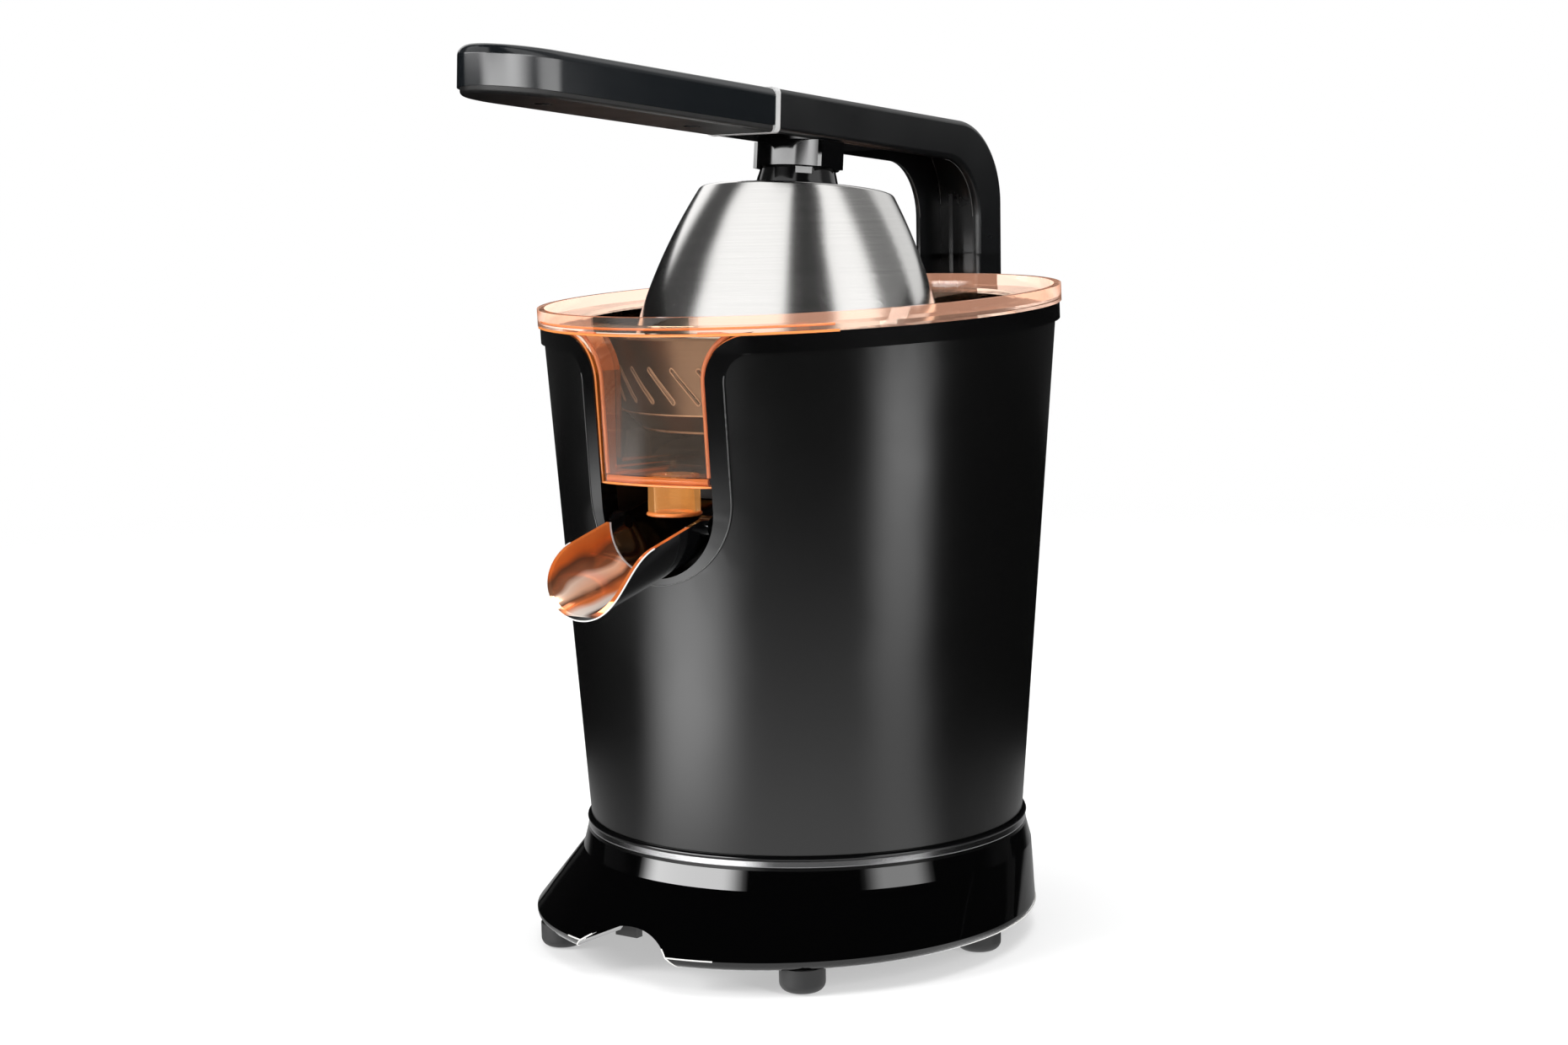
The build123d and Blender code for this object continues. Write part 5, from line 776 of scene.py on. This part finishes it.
def grow(name, mesh, tree, keys, values, node):
    """Runs a geometry tree on a mesh once, and keeps the result as a plain piece beside a node."""
    body, slot = NODES[node]["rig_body"], SLOT_OF[node]
    seed = bpy.data.objects.new(name + "_seed", mesh)
    bpy.context.scene.collection.objects.link(seed)
    modifier = seed.modifiers.new("grow", "NODES")
    modifier.node_group = tree
    for label, value in values.items():
        modifier[keys[label]] = value
    evaluated = seed.evaluated_get(bpy.context.evaluated_depsgraph_get())
    made = bpy.data.meshes.new_from_object(evaluated)
    made.name = name
    seed.modifiers.remove(modifier)
    bpy.data.objects.remove(seed)
    piece = bpy.data.objects.new(name, made)
    bpy.context.scene.collection.objects.link(piece)
    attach(piece, body)
    print(name, "faces:", len(made.polygons))
    return piece


def bead(name, mesh, node, radius, sides, finish):
    """A bead along the edges of a mesh, on the body of a node."""
    values = {"Bead radius": radius, "Bead sides": sides, "Finish": finish}
    return grow(name, mesh, BEAD_TREE, BEAD_KEYS, values, node)


BEAD_TREE, BEAD_KEYS = make_bead_tree()
print("tree:", BEAD_TREE.name, "nodes:", len(BEAD_TREE.nodes))

# %% Where edges are picked
SKIRT_LOW, SKIRT_HIGH = (Vector(corner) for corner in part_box("base_skirt"))
SKIRT_MID = (SKIRT_LOW + SKIRT_HIGH) / 2
SKIRT_HALF = (SKIRT_HIGH - SKIRT_LOW) / 2
FACE_FOOT_R, FACE_FOOT_Z, FACE_TAPER = 73.9 * MM, 37.5 * MM, 13.0 / 178.5
TONGUE_ROOT_Y = AXIS_Y - 58 * MM
TONGUE_LOW_Z, TONGUE_TOP_Z = SLAB_Z - 1 * MM, RIM_TOP_Z - 11 * MM
OUTLET_SIDE, OUTLET_FRONT = 9 * MM, 9.2 * MM
OUTLET_RIM_Z = SLAB_Z - 9 * MM
WALL_FRONT, WALL_BACK = 1.0 * MM, 3.0 * MM  # depths behind the tongue's front face
ARCH_SHARE = 0.982  # the arch's outer edge lies outside this share of the foot's ellipse
ARCH_TOP_Z, ARCH_REACH_X = 18 * MM, 30 * MM
BEZEL_HALF_W, BEZEL_SLACK = 28.2 * MM, 0.4 * MM
BEZEL_LOW_Z, BEZEL_TOP_Z = 154 * MM, 196 * MM
BEZEL_Y = AXIS_Y - 60 * MM
LIP_ROOT_Y = AXIS_Y - 81.015 * MM - 0.2 * MM
SLOT_LOW_Z, SLOT_TOP_Z = 178 * MM, 199 * MM
SIEVE_FOOT_Z, SIEVE_FOOT_R = 176 * MM, 46 * MM
ARM_EDGE_Y, ARM_EDGE_Z = AXIS_Y + 20 * MM, RIM_TOP_Z + 4 * MM


def behind_face(spot):
    """How far a spot lies behind the tongue's front face, which is a part of a cone."""
    return FACE_FOOT_R + (spot.z - FACE_FOOT_Z) * FACE_TAPER - (spot - BODY_AT).xy.length


def in_tongue(spot):
    """True on the bowl's front tongue and its floor, below the rim and off the outlet."""
    clear_of_outlet = abs(spot.x) > OUTLET_SIDE or spot.y < OUTLET_Y - OUTLET_FRONT
    at_height = TONGUE_LOW_Z < spot.z < TONGUE_TOP_Z
    return spot.y < TONGUE_ROOT_Y and at_height and clear_of_outlet


def on_tongue(spot):
    """True on the outer edges of the tongue."""
    return in_tongue(spot) and behind_face(spot) < WALL_FRONT


def in_wall_corner(spot):
    """True in the corners behind the tongue's front wall, on the left and the right."""
    beside = abs(spot.x) > WALL_IN_X - WALL_HALF_T
    return in_tongue(spot) and WALL_FRONT < behind_face(spot) < WALL_BACK and beside


def on_outlet(spot):
    """True on the lower rim of the outlet tube."""
    return spot.z < OUTLET_RIM_Z


def on_arch(spot):
    """True on the outer edge of the arch in the foot's front."""
    across = (spot.x - SKIRT_MID.x) / SKIRT_HALF.x
    along = (spot.y - SKIRT_MID.y) / SKIRT_HALF.y
    near = abs(spot.x) < ARCH_REACH_X and spot.y < SKIRT_MID.y and spot.z < ARCH_TOP_Z
    return near and Vector((across, along)).length > ARCH_SHARE


def on_bezel(spot):
    """True on the outer edge of the bezel round the front slot."""
    away = Vector((spot.x, max(BEZEL_LOW_Z - spot.z, 0))).length
    near = spot.y < BEZEL_Y and spot.z < BEZEL_TOP_Z
    return near and abs(away - BEZEL_HALF_W) < BEZEL_SLACK


def on_lip_rim(spot):
    """True on the outer edge of the spout's rim."""
    return from_gutter(spot).length > LIP_OUTSIDE_R and spot.y < LIP_ROOT_Y


def on_lip_step(spot):
    """True on the inner edge where the bright lip meets the black root."""
    return from_gutter(spot).length < LIP_INSIDE_R and spot.y > LIP_ROOT_Y


def on_sieve_slot(spot):
    """True round the slots in the sieve's wall."""
    return SLOT_LOW_Z < spot.z < SLOT_TOP_Z


def on_sieve_foot(spot):
    """True on the two edges of the sieve's foot."""
    return spot.z < SIEVE_FOOT_Z and (spot - BODY_AT).xy.length > SIEVE_FOOT_R


def on_arm_edge(spot):
    """True on the arm's lower edges and the ribs of its post."""
    return spot.y > ARM_EDGE_Y and spot.z > ARM_EDGE_Z


print("foot's ellipse:", round(2 * SKIRT_HALF.x, 4), "by", round(2 * SKIRT_HALF.y, 4))

# %% Beads along the picked edges
SHARP_ANGLE = radians(35)
EDGE_SIDES = 8
# Orange beads are painted glow; white, grey and the slots' pale beads are painted highlights; the
# lip's step line is plain grey.
LINES = [  # name, node, test, radius in mm, finish
    ("bowl_edge_lines", "juice_bowl", on_tongue, 0.42, BOWL_PAINTED_GLOW),
    ("bowl_inner_lines", "juice_bowl", in_wall_corner, 0.8, BOWL_PAINTED_INNER_GLOW),
    ("outlet_edge_lines", "juice_bowl", on_outlet, 0.6, BOWL_PAINTED_GLOW),
    ("arch_edge_line", "base_skirt", on_arch, 0.24, WHITE_HIGHLIGHT_LINE),
    ("bezel_edge_line", "top_collar", on_bezel, 0.22, GREY_HIGHLIGHT_LINE),
    ("lip_rim_line", "spout_lip", on_lip_rim, 0.24, WHITE_HIGHLIGHT_LINE),
    ("arm_edge_lines", "arm_shell", on_arm_edge, 0.18, GREY_HIGHLIGHT_LINE),
    ("lip_step_line", "spout_lip", on_lip_step, 0.35, STEP_LINE_GREY),
    ("sieve_slot_lines", "sieve", on_sieve_slot, 0.3, SLOT_HIGHLIGHT_LINE),
    ("sieve_foot_lines", "sieve", on_sieve_foot, 0.45, SLOT_HIGHLIGHT_LINE),
]


def bare_edges(piece, test):
    """A mesh of a piece's sharp edges whose two ends pass a test."""
    work = bmesh.new()
    work.from_mesh(piece.data)
    places, links = {}, []
    for edge in work.edges:
        sharp = len(edge.link_faces) == 2 and edge.calc_face_angle(0) > SHARP_ANGLE
        if sharp and all(test(vert.co) for vert in edge.verts):
            ends = [tuple(round(value, 6) for value in vert.co) for vert in edge.verts]
            links.append([places.setdefault(end, len(places)) for end in ends])
    work.free()
    mesh = bpy.data.meshes.new(piece.name + "_edges")
    mesh.from_pydata(list(places), links, [])
    return mesh


beads = {}
for name, node, test, radius, finish in LINES:
    edges = bare_edges(skins[node], test)
    beads[name] = bead(name, edges, node, radius * MM, EDGE_SIDES, finish)

# %% [markdown]
# ## Lines along a path
#
# Three more lines follow no sharp edge of a solid, so their paths are worked out from sizes: a
# painted highlight along the lower edge of the foot, which is an ellipse broken by the arch, the
# black lip where the shell meets its silver ring, and a painted glow along the front of the bowl's
# floor, just inside the wall.

# %% Paths worked out


def path_mesh(name, spots, closed=False):
    """A bare line of edges through spots."""
    mesh = bpy.data.meshes.new(name)
    links = [(i, i + 1) for i in range(len(spots) - 1)]
    mesh.from_pydata(spots, links + ([(len(spots) - 1, 0)] if closed else []), [])
    return mesh


PATH_SIDES = 10
ARCH_LEFT, ARCH_RIGHT = -25.5 * MM, 17.5 * MM
FOOT_EDGE_Z = SKIRT_LOW.z + 0.5 * MM
FOOT_EDGE_IN = 1.1 * MM
FOOT_STEP, FOOT_START = 1.5, -90.001  # degrees
foot_path = []
for step in range(241):
    angle = radians(FOOT_START + step * FOOT_STEP)
    spot = Vector((
        SKIRT_MID.x + (SKIRT_HALF.x - FOOT_EDGE_IN) * cos(angle),
        SKIRT_MID.y + (SKIRT_HALF.y - FOOT_EDGE_IN) * sin(angle),
        FOOT_EDGE_Z,
    ))
    if spot.y > SKIRT_MID.y or not ARCH_LEFT < spot.x < ARCH_RIGHT:
        foot_path.append(spot)
SHELL_LIP_R, SHELL_LIP_Z = 75.0 * MM, 38.3 * MM
lip_path = []
for step in range(120):
    angle = radians(step * 3)
    lip_path.append(BODY_AT + Vector((
        SHELL_LIP_R * cos(angle), SHELL_LIP_R * sin(angle), SHELL_LIP_Z
    )))
SLAB_FRONT_R = 81.2 * MM
slab_path = []
for step in range(-20, 21):
    across = step * MM
    front = -sqrt(SLAB_FRONT_R ** 2 - across ** 2)
    slab_path.append(BODY_AT + Vector((across, front, SLAB_Z + SLAB_T / 2)))
PATHS = [  # name, path, node, radius in mm, finish
    ("foot_edge_line", path_mesh("foot_path", foot_path), "base_skirt", 0.3, WHITE_HIGHLIGHT_LINE),
    ("shell_foot_lip", path_mesh("lip_path", lip_path, True), "outer_shell", 0.9, HUB_GLOSS),
    ("slab_glow", path_mesh("slab_path", slab_path), "juice_bowl", 1.25, BOWL_PAINTED_GLOW),
]
for name, mesh, node, radius, finish in PATHS:
    bead(name, mesh, node, radius * MM, PATH_SIDES, finish)

# %% [markdown]
# ## The return spring
#
# A spring under the drive shaft's flange lifts the cone again after a press. It is a wire wound on
# a helix, so its path is worked out too and swept by the same tree. On the real press the coil is
# pressed flatter, towards its foot, by the length of the stroke when the cone goes down; here it
# keeps one shape.

# %% A coil
SPRING_LOW, SPRING_HIGH = (Vector(corner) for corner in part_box("return_spring"))
WIRE_R = 0.5 * MM
COILS = 4
COIL_STEPS = 28
coil_r = (SPRING_HIGH.x - SPRING_LOW.x) / 2 - WIRE_R
coil_path = []
for step in range(COILS * COIL_STEPS + 1):
    angle = 2 * pi * step / COIL_STEPS
    rise = step / (COILS * COIL_STEPS)
    height = SPRING_LOW.z + WIRE_R + rise * (SPRING_HIGH.z - SPRING_LOW.z - 2 * WIRE_R)
    coil_path.append(Vector((coil_r * cos(angle), AXIS_Y + coil_r * sin(angle), height)))
coil_mesh = path_mesh("coil_path", coil_path)
coil = bead("return_spring_coil", coil_mesh, "return_spring", WIRE_R, PATH_SIDES, WORKS_STEEL)
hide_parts("return_spring")
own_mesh(coil)

# %% [markdown]
# ## Screws
#
# Screws repeat, so one head is made in a node tree: a low cone with a cross cut out of it by two
# boxes. The tree sets a head on every point it is given, turned to the screw's direction.

# %% Cross-head screws
HEAD_TOP = 0.8  # a head's top radius against its foot's
HEAD_SIDES = 28


def make_screw_tree():
    """A cross-head screw head on every point."""
    inputs = {
        "Head radius": "NodeSocketFloat",
        "Head height": "NodeSocketFloat",
        "Cross length": "NodeSocketVector",
        "Cross turned": "NodeSocketVector",
        "Turn": "NodeSocketRotation",
        "Finish": "NodeSocketMaterial",
    }
    tree, keys, entry, leave = new_tree("cross_head_screws", inputs)
    small = add_node(tree, "ShaderNodeMath", (-600, 300), operation="MULTIPLY")
    small.inputs[1].default_value = HEAD_TOP
    head = add_node(tree, "GeometryNodeMeshCone", (-400, 300), fill_type="NGON")
    head.inputs["Vertices"].default_value = HEAD_SIDES
    bar = add_node(tree, "GeometryNodeMeshCube", (-400, 0))
    cross = add_node(tree, "GeometryNodeMeshCube", (-400, -200))
    lift = add_node(tree, "ShaderNodeCombineXYZ", (-400, -400))
    both = add_node(tree, "GeometryNodeJoinGeometry", (-200, -100))
    raise_cut = add_node(tree, "GeometryNodeTransform", (0, -100))
    cut = add_node(tree, "GeometryNodeMeshBoolean", (200, 200), operation="DIFFERENCE")
    cut.solver = "EXACT"
    cut.inputs["Self Intersection"].default_value = True  # the two boxes cross each other
    spots = add_node(tree, "GeometryNodeMeshToPoints", (0, 400))
    set_on = add_node(tree, "GeometryNodeInstanceOnPoints", (350, 300))
    real = add_node(tree, "GeometryNodeRealizeInstances", (500, 200))
    finish = add_node(tree, "GeometryNodeSetMaterial", (650, 100))
    wire(
        tree,
        (entry, "Head radius", small, 0),
        (entry, "Head radius", head, "Radius Bottom"),
        (small, 0, head, "Radius Top"),
        (entry, "Head height", head, "Depth"),
        (entry, "Cross length", bar, "Size"),
        (entry, "Cross turned", cross, "Size"),
        (entry, "Head height", lift, "Z"),
        (bar, "Mesh", both, "Geometry"),
        (cross, "Mesh", both, "Geometry"),
        (both, "Geometry", raise_cut, "Geometry"),
        (lift, "Vector", raise_cut, "Translation"),
        (head, "Mesh", cut, "Mesh 1"),
        (raise_cut, "Geometry", cut, "Mesh 2"),
        (entry, "Geometry", spots, "Mesh"),
        (spots, "Points", set_on, "Points"),
        (cut, "Mesh", set_on, "Instance"),
        (entry, "Turn", set_on, "Rotation"),
        (set_on, "Instances", real, "Geometry"),
        (real, "Geometry", finish, "Geometry"),
        (entry, "Finish", finish, "Material"),
        (finish, "Geometry", leave, "Geometry"),
    )
    return tree, keys


def islands(node):
    """Lowest and highest corners of each loose solid in a node, in a fixed order."""
    work = bmesh.new()
    work.from_mesh(NODES[node].data)
    bmesh.ops.remove_doubles(work, verts=work.verts, dist=MERGE_GAP)
    left = set(work.verts)
    boxes = []
    while left:
        group, queue = set(), [left.pop()]
        while queue:
            vert = queue.pop()
            group.add(vert)
            for edge in vert.link_edges:
                other = edge.other_vert(vert)
                if other in left:
                    left.remove(other)
                    queue.append(other)
        spots = [vert.co for vert in group]
        low = Vector(min(spot[i] for spot in spots) for i in range(3))
        high = Vector(max(spot[i] for spot in spots) for i in range(3))
        boxes.append((low, high))
    work.free()
    return sorted(boxes, key=lambda box: tuple(box[0]))


SCREW_TREE, SCREW_KEYS = make_screw_tree()
print("tree:", SCREW_TREE.name, "nodes:", len(SCREW_TREE.nodes))

# %% Screws set in place
CROSS_LONG, CROSS_WIDE = 1.25, 0.28  # shares of a head's radius
CROSS_DEEP = 1.1  # share of a head's height


def back_seat(low, high, height):
    """Where a head's foot sits on a screw that faces backwards."""
    middle = (low + high) / 2
    return (middle.x, high.y - height, middle.z)


def under_seat(low, high, height):
    """Where a head's foot sits on a screw that faces down."""
    middle = (low + high) / 2
    return (middle.x, middle.y, low.z + height)


SCREWS = [  # node, head radius and height in mm, turn, seat, finish
    ("bracket_screws", 3.4, 2.2, (-pi / 2, 0, 0), back_seat, BLACK_STEEL),
    ("base_screws", 3.2, 2.0, (pi, 0, 0), under_seat, WORKS_STEEL),
    ("grip_screws", 2.9, 1.6, (pi, 0, 0), under_seat, BLACK_STEEL),
]


def screw_set(node, radius, height, turn, seat, finish):
    """Cross-head screws in place of a node's plain ones."""
    mesh = bpy.data.meshes.new(node + "_spots")
    mesh.from_pydata([seat(low, high, height) for low, high in islands(node)], [], [])
    values = {
        "Head radius": radius,
        "Head height": height,
        "Cross length": (CROSS_LONG * radius, CROSS_WIDE * radius, CROSS_DEEP * height),
        "Cross turned": (CROSS_WIDE * radius, CROSS_LONG * radius, CROSS_DEEP * height),
        "Turn": turn,
        "Finish": finish,
    }
    piece = grow(node + "_heads", mesh, SCREW_TREE, SCREW_KEYS, values, node)
    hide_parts(node)
    return piece


heads = {}
for node, radius, height, turn, seat, finish in SCREWS:
    heads[node] = screw_set(node, radius * MM, height * MM, turn, seat, finish)

# %% [markdown]
# ## Light and floor
#
# A pale floor runs out into a white surround, and large soft lamps light the press evenly. The
# surround is white for the camera and for reflections, and dimmer for the light it sheds, so the
# black parts keep their depth.

# %% Floor
FLOOR_R = 1.6
FLOOR_DROP = 0.0002
FLOOR_NEAR, FLOOR_FAR = 0.35 * FLOOR_R, 0.95 * FLOOR_R  # the floor fades out between these
FLOOR_GREY = 0.93
FLOOR_LIT = 0.45  # share of its own white that the camera sees


def make_floor():
    """A round pale floor whose edge fades into the surround, lit a little for the camera alone."""
    bpy.ops.mesh.primitive_circle_add(
        vertices=96, radius=FLOOR_R, fill_type="NGON", location=(0, 0, -FLOOR_DROP)
    )
    floor = bpy.context.object
    floor.name = "floor"
    material, tree, shader = new_material("floor_white", roughness=0.9)
    shader.inputs["Base Color"].default_value = grey(FLOOR_GREY)
    shader.inputs["Specular IOR Level"].default_value = 0.0
    where = add_node(tree, "ShaderNodeTexCoord", (-900, 300))
    reach = add_node(tree, "ShaderNodeVectorMath", (-700, 300), operation="LENGTH")
    fade = add_node(tree, "ShaderNodeMapRange", (-500, 300), interpolation_type="SMOOTHSTEP")
    fade.inputs["From Min"].default_value = FLOOR_NEAR
    fade.inputs["From Max"].default_value = FLOOR_FAR
    path = add_node(tree, "ShaderNodeLightPath", (-500, 600))
    share = add_node(tree, "ShaderNodeMath", (-250, 600), operation="MULTIPLY")
    share.inputs[1].default_value = FLOOR_LIT
    white = add_node(tree, "ShaderNodeEmission", (-250, 0))
    lit = add_node(tree, "ShaderNodeMixShader", (0, 400))
    clear = add_node(tree, "ShaderNodeBsdfTransparent", (0, 200))
    blend = add_node(tree, "ShaderNodeMixShader", (300, 300))
    leave = tree.nodes["Material Output"]
    wire(
        tree,
        (where, "Object", reach, 0),
        (reach, "Value", fade, "Value"),
        (path, "Is Camera Ray", share, 0),
        (share, 0, lit, 0),
        (shader, 0, lit, 1),
        (white, 0, lit, 2),
        (fade, "Result", blend, 0),
        (lit, 0, blend, 1),
        (clear, 0, blend, 2),
        (blend, 0, leave, "Surface"),
    )
    floor.data.materials.append(material)
    return floor


print("floor:", make_floor().name, 2 * FLOOR_R, "m wide")

# %% Surround and lamps


def make_surround(white=1.0, shed=0.55):
    """White to the camera, to mirrors and through clear plastic; dimmer as a lamp."""
    world = bpy.data.worlds.new("surround")
    bpy.context.scene.world = world
    world.use_nodes = True
    tree = world.node_tree
    dim = tree.nodes["Background"]
    dim.inputs["Color"].default_value = grey(1)
    dim.inputs["Strength"].default_value = shed
    bright = add_node(tree, "ShaderNodeBackground", (0, 200))
    bright.inputs["Color"].default_value = grey(1)
    bright.inputs["Strength"].default_value = white
    path = add_node(tree, "ShaderNodeLightPath", (-600, 0))
    either = add_node(tree, "ShaderNodeMath", (-400, 0), operation="MAXIMUM")
    any_of = add_node(tree, "ShaderNodeMath", (-200, 0), operation="MAXIMUM")
    blend = add_node(tree, "ShaderNodeMixShader", (200, 0))
    leave = tree.nodes["World Output"]
    wire(
        tree,
        (path, "Is Camera Ray", either, 0),
        (path, "Is Glossy Ray", either, 1),
        (either, 0, any_of, 0),
        (path, "Is Transmission Ray", any_of, 1),
        (any_of, 0, blend, 0),
        (dim, 0, blend, 1),
        (bright, 0, blend, 2),
        (blend, 0, leave, "Surface"),
    )


def make_lamp(name, at, aim, width, height, watts):
    """A soft rectangular lamp that faces a point and stays out of mirrors."""
    data = bpy.data.lights.new(name, "AREA")
    data.shape = "RECTANGLE"
    data.size = width
    data.size_y = height
    data.energy = watts
    lamp = bpy.data.objects.new(name, data)
    bpy.context.scene.collection.objects.link(lamp)
    lamp.location = at
    lamp.rotation_euler = (Vector(aim) - Vector(at)).to_track_quat("-Z", "Y").to_euler()
    lamp.visible_glossy = False


make_surround()
MIDDLE = (0, 0, 0.15)
make_lamp("key_left", at=(-1.0, -1.3, 1.1), aim=MIDDLE, width=0.9, height=0.9, watts=28)
make_lamp("strip_right", at=(1.5, -0.3, 0.6), aim=MIDDLE, width=0.25, height=1.2, watts=14)
make_lamp("top", at=(0, 0.2, 1.6), aim=MIDDLE, width=1.2, height=1.2, watts=20)
bpy.context.scene.view_settings.view_transform = "Standard"

# %% [markdown]
# ## Cards for the reflections
#
# Polished black and steel show nothing but what stands round them. In a studio, that is cards: dark
# ones that give a bright metal its bands, and lit ones that give a black surface its highlights.
# Three cards stand here: one on the table, which the shell mirrors, a wide one round the set for
# the foot, and a near one round the dome. A dark shelf under the near card and a dark lid over it
# keep the light of one from the mirrors of another. Only mirrors see the cards; the camera and the
# light do not. Bearings are degrees round from the camera, to the right.

# %% What the cards shed
DARK = 0.006
TO_CAMERA = Vector((sin(CAMERA_TURN), -cos(CAMERA_TURN), 0))


def ease(value, low, high):
    """0 below low, 1 above high, smooth between."""
    share = min(max((value - low) / (high - low), 0), 1)
    return share * share * (3 - 2 * share)


def span(bearing, low, high, blur):
    """1 between two bearings, fading over a blur at each end."""
    return ease(bearing, low - blur, low + blur) * (1 - ease(bearing, high - blur, high + blur))


def table_light(bearing, reach):
    """What the shell mirrors: a broad light on the left, a narrow one on the right, a low glow."""
    broad = 4.8 * span(bearing, -70, -36, 15)
    broad *= ease(reach, 0.12, 0.36) * (1 - ease(reach, 0.5, 0.85))
    far = ease(reach, 0.15, 1.05)
    narrow_at = 40 + 5 * far
    narrow = (0.3 + 5.2 * far) * span(bearing, narrow_at - 11, narrow_at + 12, 8)
    narrow *= 1 - 0.97 * ease(reach, 1.15, 1.3)
    ground = 1.05 * span(bearing, -74, 56, 12) * (1 - ease(reach, 0.1, 0.8))
    skirting = 0.3 * (1 - ease(reach, 0.2, 0.32))
    pool = 1.6 * span(bearing, -112, -76, 6) * ease(reach, 0.72, 0.8) * (1 - ease(reach, 1.0, 1.1))
    return DARK + broad + narrow + ground + skirting + pool


def wide_light(bearing, height):
    """What the foot mirrors: a bright horizon on the left, two lamps above it, dark above those."""
    horizon = 0.03 + 1.6 * span(bearing, -86, -26, 8) + 0.1 * span(bearing, -30, 32, 8)
    low = 1 - ease(height, 0.1, 0.16)
    left = 14.0 * span(bearing, -86, -37, 7) * ease(height, 0.12, 0.18)
    right = 4.8 * span(bearing, 32, 59, 6) * ease(height, 0.16, 0.22)
    return 0.008 + horizon * low + (left + right) * (1 - ease(height, 0.72, 0.8))


def near_light(bearing, height):
    """What the grip, the hub and the dome mirror: two rows of lamps, and a wall with dark bands."""
    grip = 11.0 * span(bearing, -14, 49, 14) + 5.0 * span(bearing, 66, 90, 5)
    hub = 11.0 * span(bearing, -80, -8, 4) + 12.0 * span(bearing, 27, 62, 4)
    high = ease(height, 0.5, 0.95)
    wall = 1.4 - 1.33 * span(bearing, -131, -80 - 16 * high, 7)
    wall -= 1.37 * span(bearing, -2, 38 + 12 * ease(height, 0.9, 1.4), 4)
    wall -= 1.15 * span(bearing, 78, 118, 7)
    wall -= 0.5 * ease(bearing, 116, 126) + 0.4 * ease(bearing, 140, 152)
    foot_of_wall = 0.405 - 0.095 * ease(bearing, 112, 116)
    wall_share = ease(height, foot_of_wall, foot_of_wall + 0.02)
    grip_share = (1 - ease(height, 0.373, 0.38)) * (1 - wall_share)
    hub_share = 1 - grip_share - wall_share
    return DARK + grip * grip_share + hub * hub_share + max(wall, 0.02) * wall_share


def shade_light(bearing, reach):
    """What the shelf and the lid shed."""
    return DARK


print("lamp above the foot, left:", round(wide_light(-60, 0.3), 1))

# %% The cards in one mesh
CARD_STEP = 2.5  # degrees
TABLE_Z = -0.0001
WIDE_R, NEAR_R = 1.7, 0.6
SHELF_Z, SHELF_FLAT_R, SHELF_RISE = 0.228, 0.3, 0.147
LID_Z = 2.0
TABLE_ROWS = [
    0.02, 0.1, 0.15, 0.2, 0.25, 0.3, 0.36, 0.42, 0.5, 0.58, 0.66, 0.75, 0.85, 0.95, 1.05, 1.3, 1.7,
]
WIDE_ROWS = [
    0, 0.1, 0.12, 0.14, 0.16, 0.18, 0.28, 0.31, 0.34, 0.5, 0.72, 0.76, 0.8, 1.2, 1.7, 2.4,
]
NEAR_ROWS = [
    0.272, 0.31, 0.32, 0.33, 0.373, 0.38, 0.405, 0.415, 0.425, 0.5, 0.6, 0.75, 0.9, 1.2, 1.4, 1.6,
    2.0,
]
SHELF_ROWS, LID_ROWS = [0.098, 0.3, 0.6], [0.02, 0.3, 0.6]


def shelf_height(reach):
    """The shelf is level near the press and rises further out."""
    return SHELF_Z + max(reach - SHELF_FLAT_R, 0) * SHELF_RISE


CARDS = [  # rows, the radius and the height of a row, and what it sheds
    (TABLE_ROWS, lambda row: (row, TABLE_Z), table_light),
    (WIDE_ROWS, lambda row: (WIDE_R, row), wide_light),
    (NEAR_ROWS, lambda row: (NEAR_R, row), near_light),
    (SHELF_ROWS, lambda row: (row, shelf_height(row)), shade_light),
    (LID_ROWS, lambda row: (row, LID_Z), shade_light),
]


def make_cards():
    """One mesh of the cards, with the light that each point sheds as an attribute."""
    spots, faces, lights = [], [], []
    bearings = [step * CARD_STEP - 180 for step in range(145)]
    wide = len(bearings)
    for rows, place, light in CARDS:
        first = len(spots)
        for row in rows:
            radius, height = place(row)
            for bearing in bearings:
                turn = radians(bearing)
                out = cos(turn) * TO_CAMERA + sin(turn) * level_right
                spots.append(Vector((0, AXIS_Y, 0)) + out * radius + Vector((0, 0, height)))
                lights.append(light(bearing, row))
        for row in range(len(rows) - 1):
            for column in range(wide - 1):
                at = first + row * wide + column
                faces.append((at, at + 1, at + wide + 1, at + wide))
    mesh = bpy.data.meshes.new("reflection_cards")
    mesh.from_pydata(spots, [], faces)
    shed = mesh.attributes.new("card_light", "FLOAT", "POINT")
    for spot, light in zip(shed.data, lights):
        spot.value = light
    material = bpy.data.materials.new("card_light")
    material.use_nodes = True
    tree = material.node_tree
    tree.nodes.clear()
    read = add_node(tree, "ShaderNodeAttribute", (-300, 0), attribute_name="card_light")
    glow = add_node(tree, "ShaderNodeEmission", (0, 0))
    leave = add_node(tree, "ShaderNodeOutputMaterial", (200, 0))
    wire(tree, (read, "Fac", glow, "Strength"), (glow, 0, leave, "Surface"))
    mesh.materials.append(material)
    cards = bpy.data.objects.new("reflection_cards", mesh)
    bpy.context.scene.collection.objects.link(cards)
    for rays in ("camera", "diffuse", "transmission", "volume_scatter", "shadow"):
        setattr(cards, "visible_" + rays, False)
    return cards


print("cards:", len(make_cards().data.polygons), "faces")
# The steel and the foot show the cards in place of these, as with a sheet held between.
UNMIRRORED = [skins[name] for name in (
    "grip_underside", "grip_cover", "grip_trim", "arm_core", "spout_lip",
)]
UNMIRRORED += [heads["grip_screws"], beads["lip_rim_line"], beads["lip_step_line"]]
for piece in UNMIRRORED:
    piece.visible_glossy = False
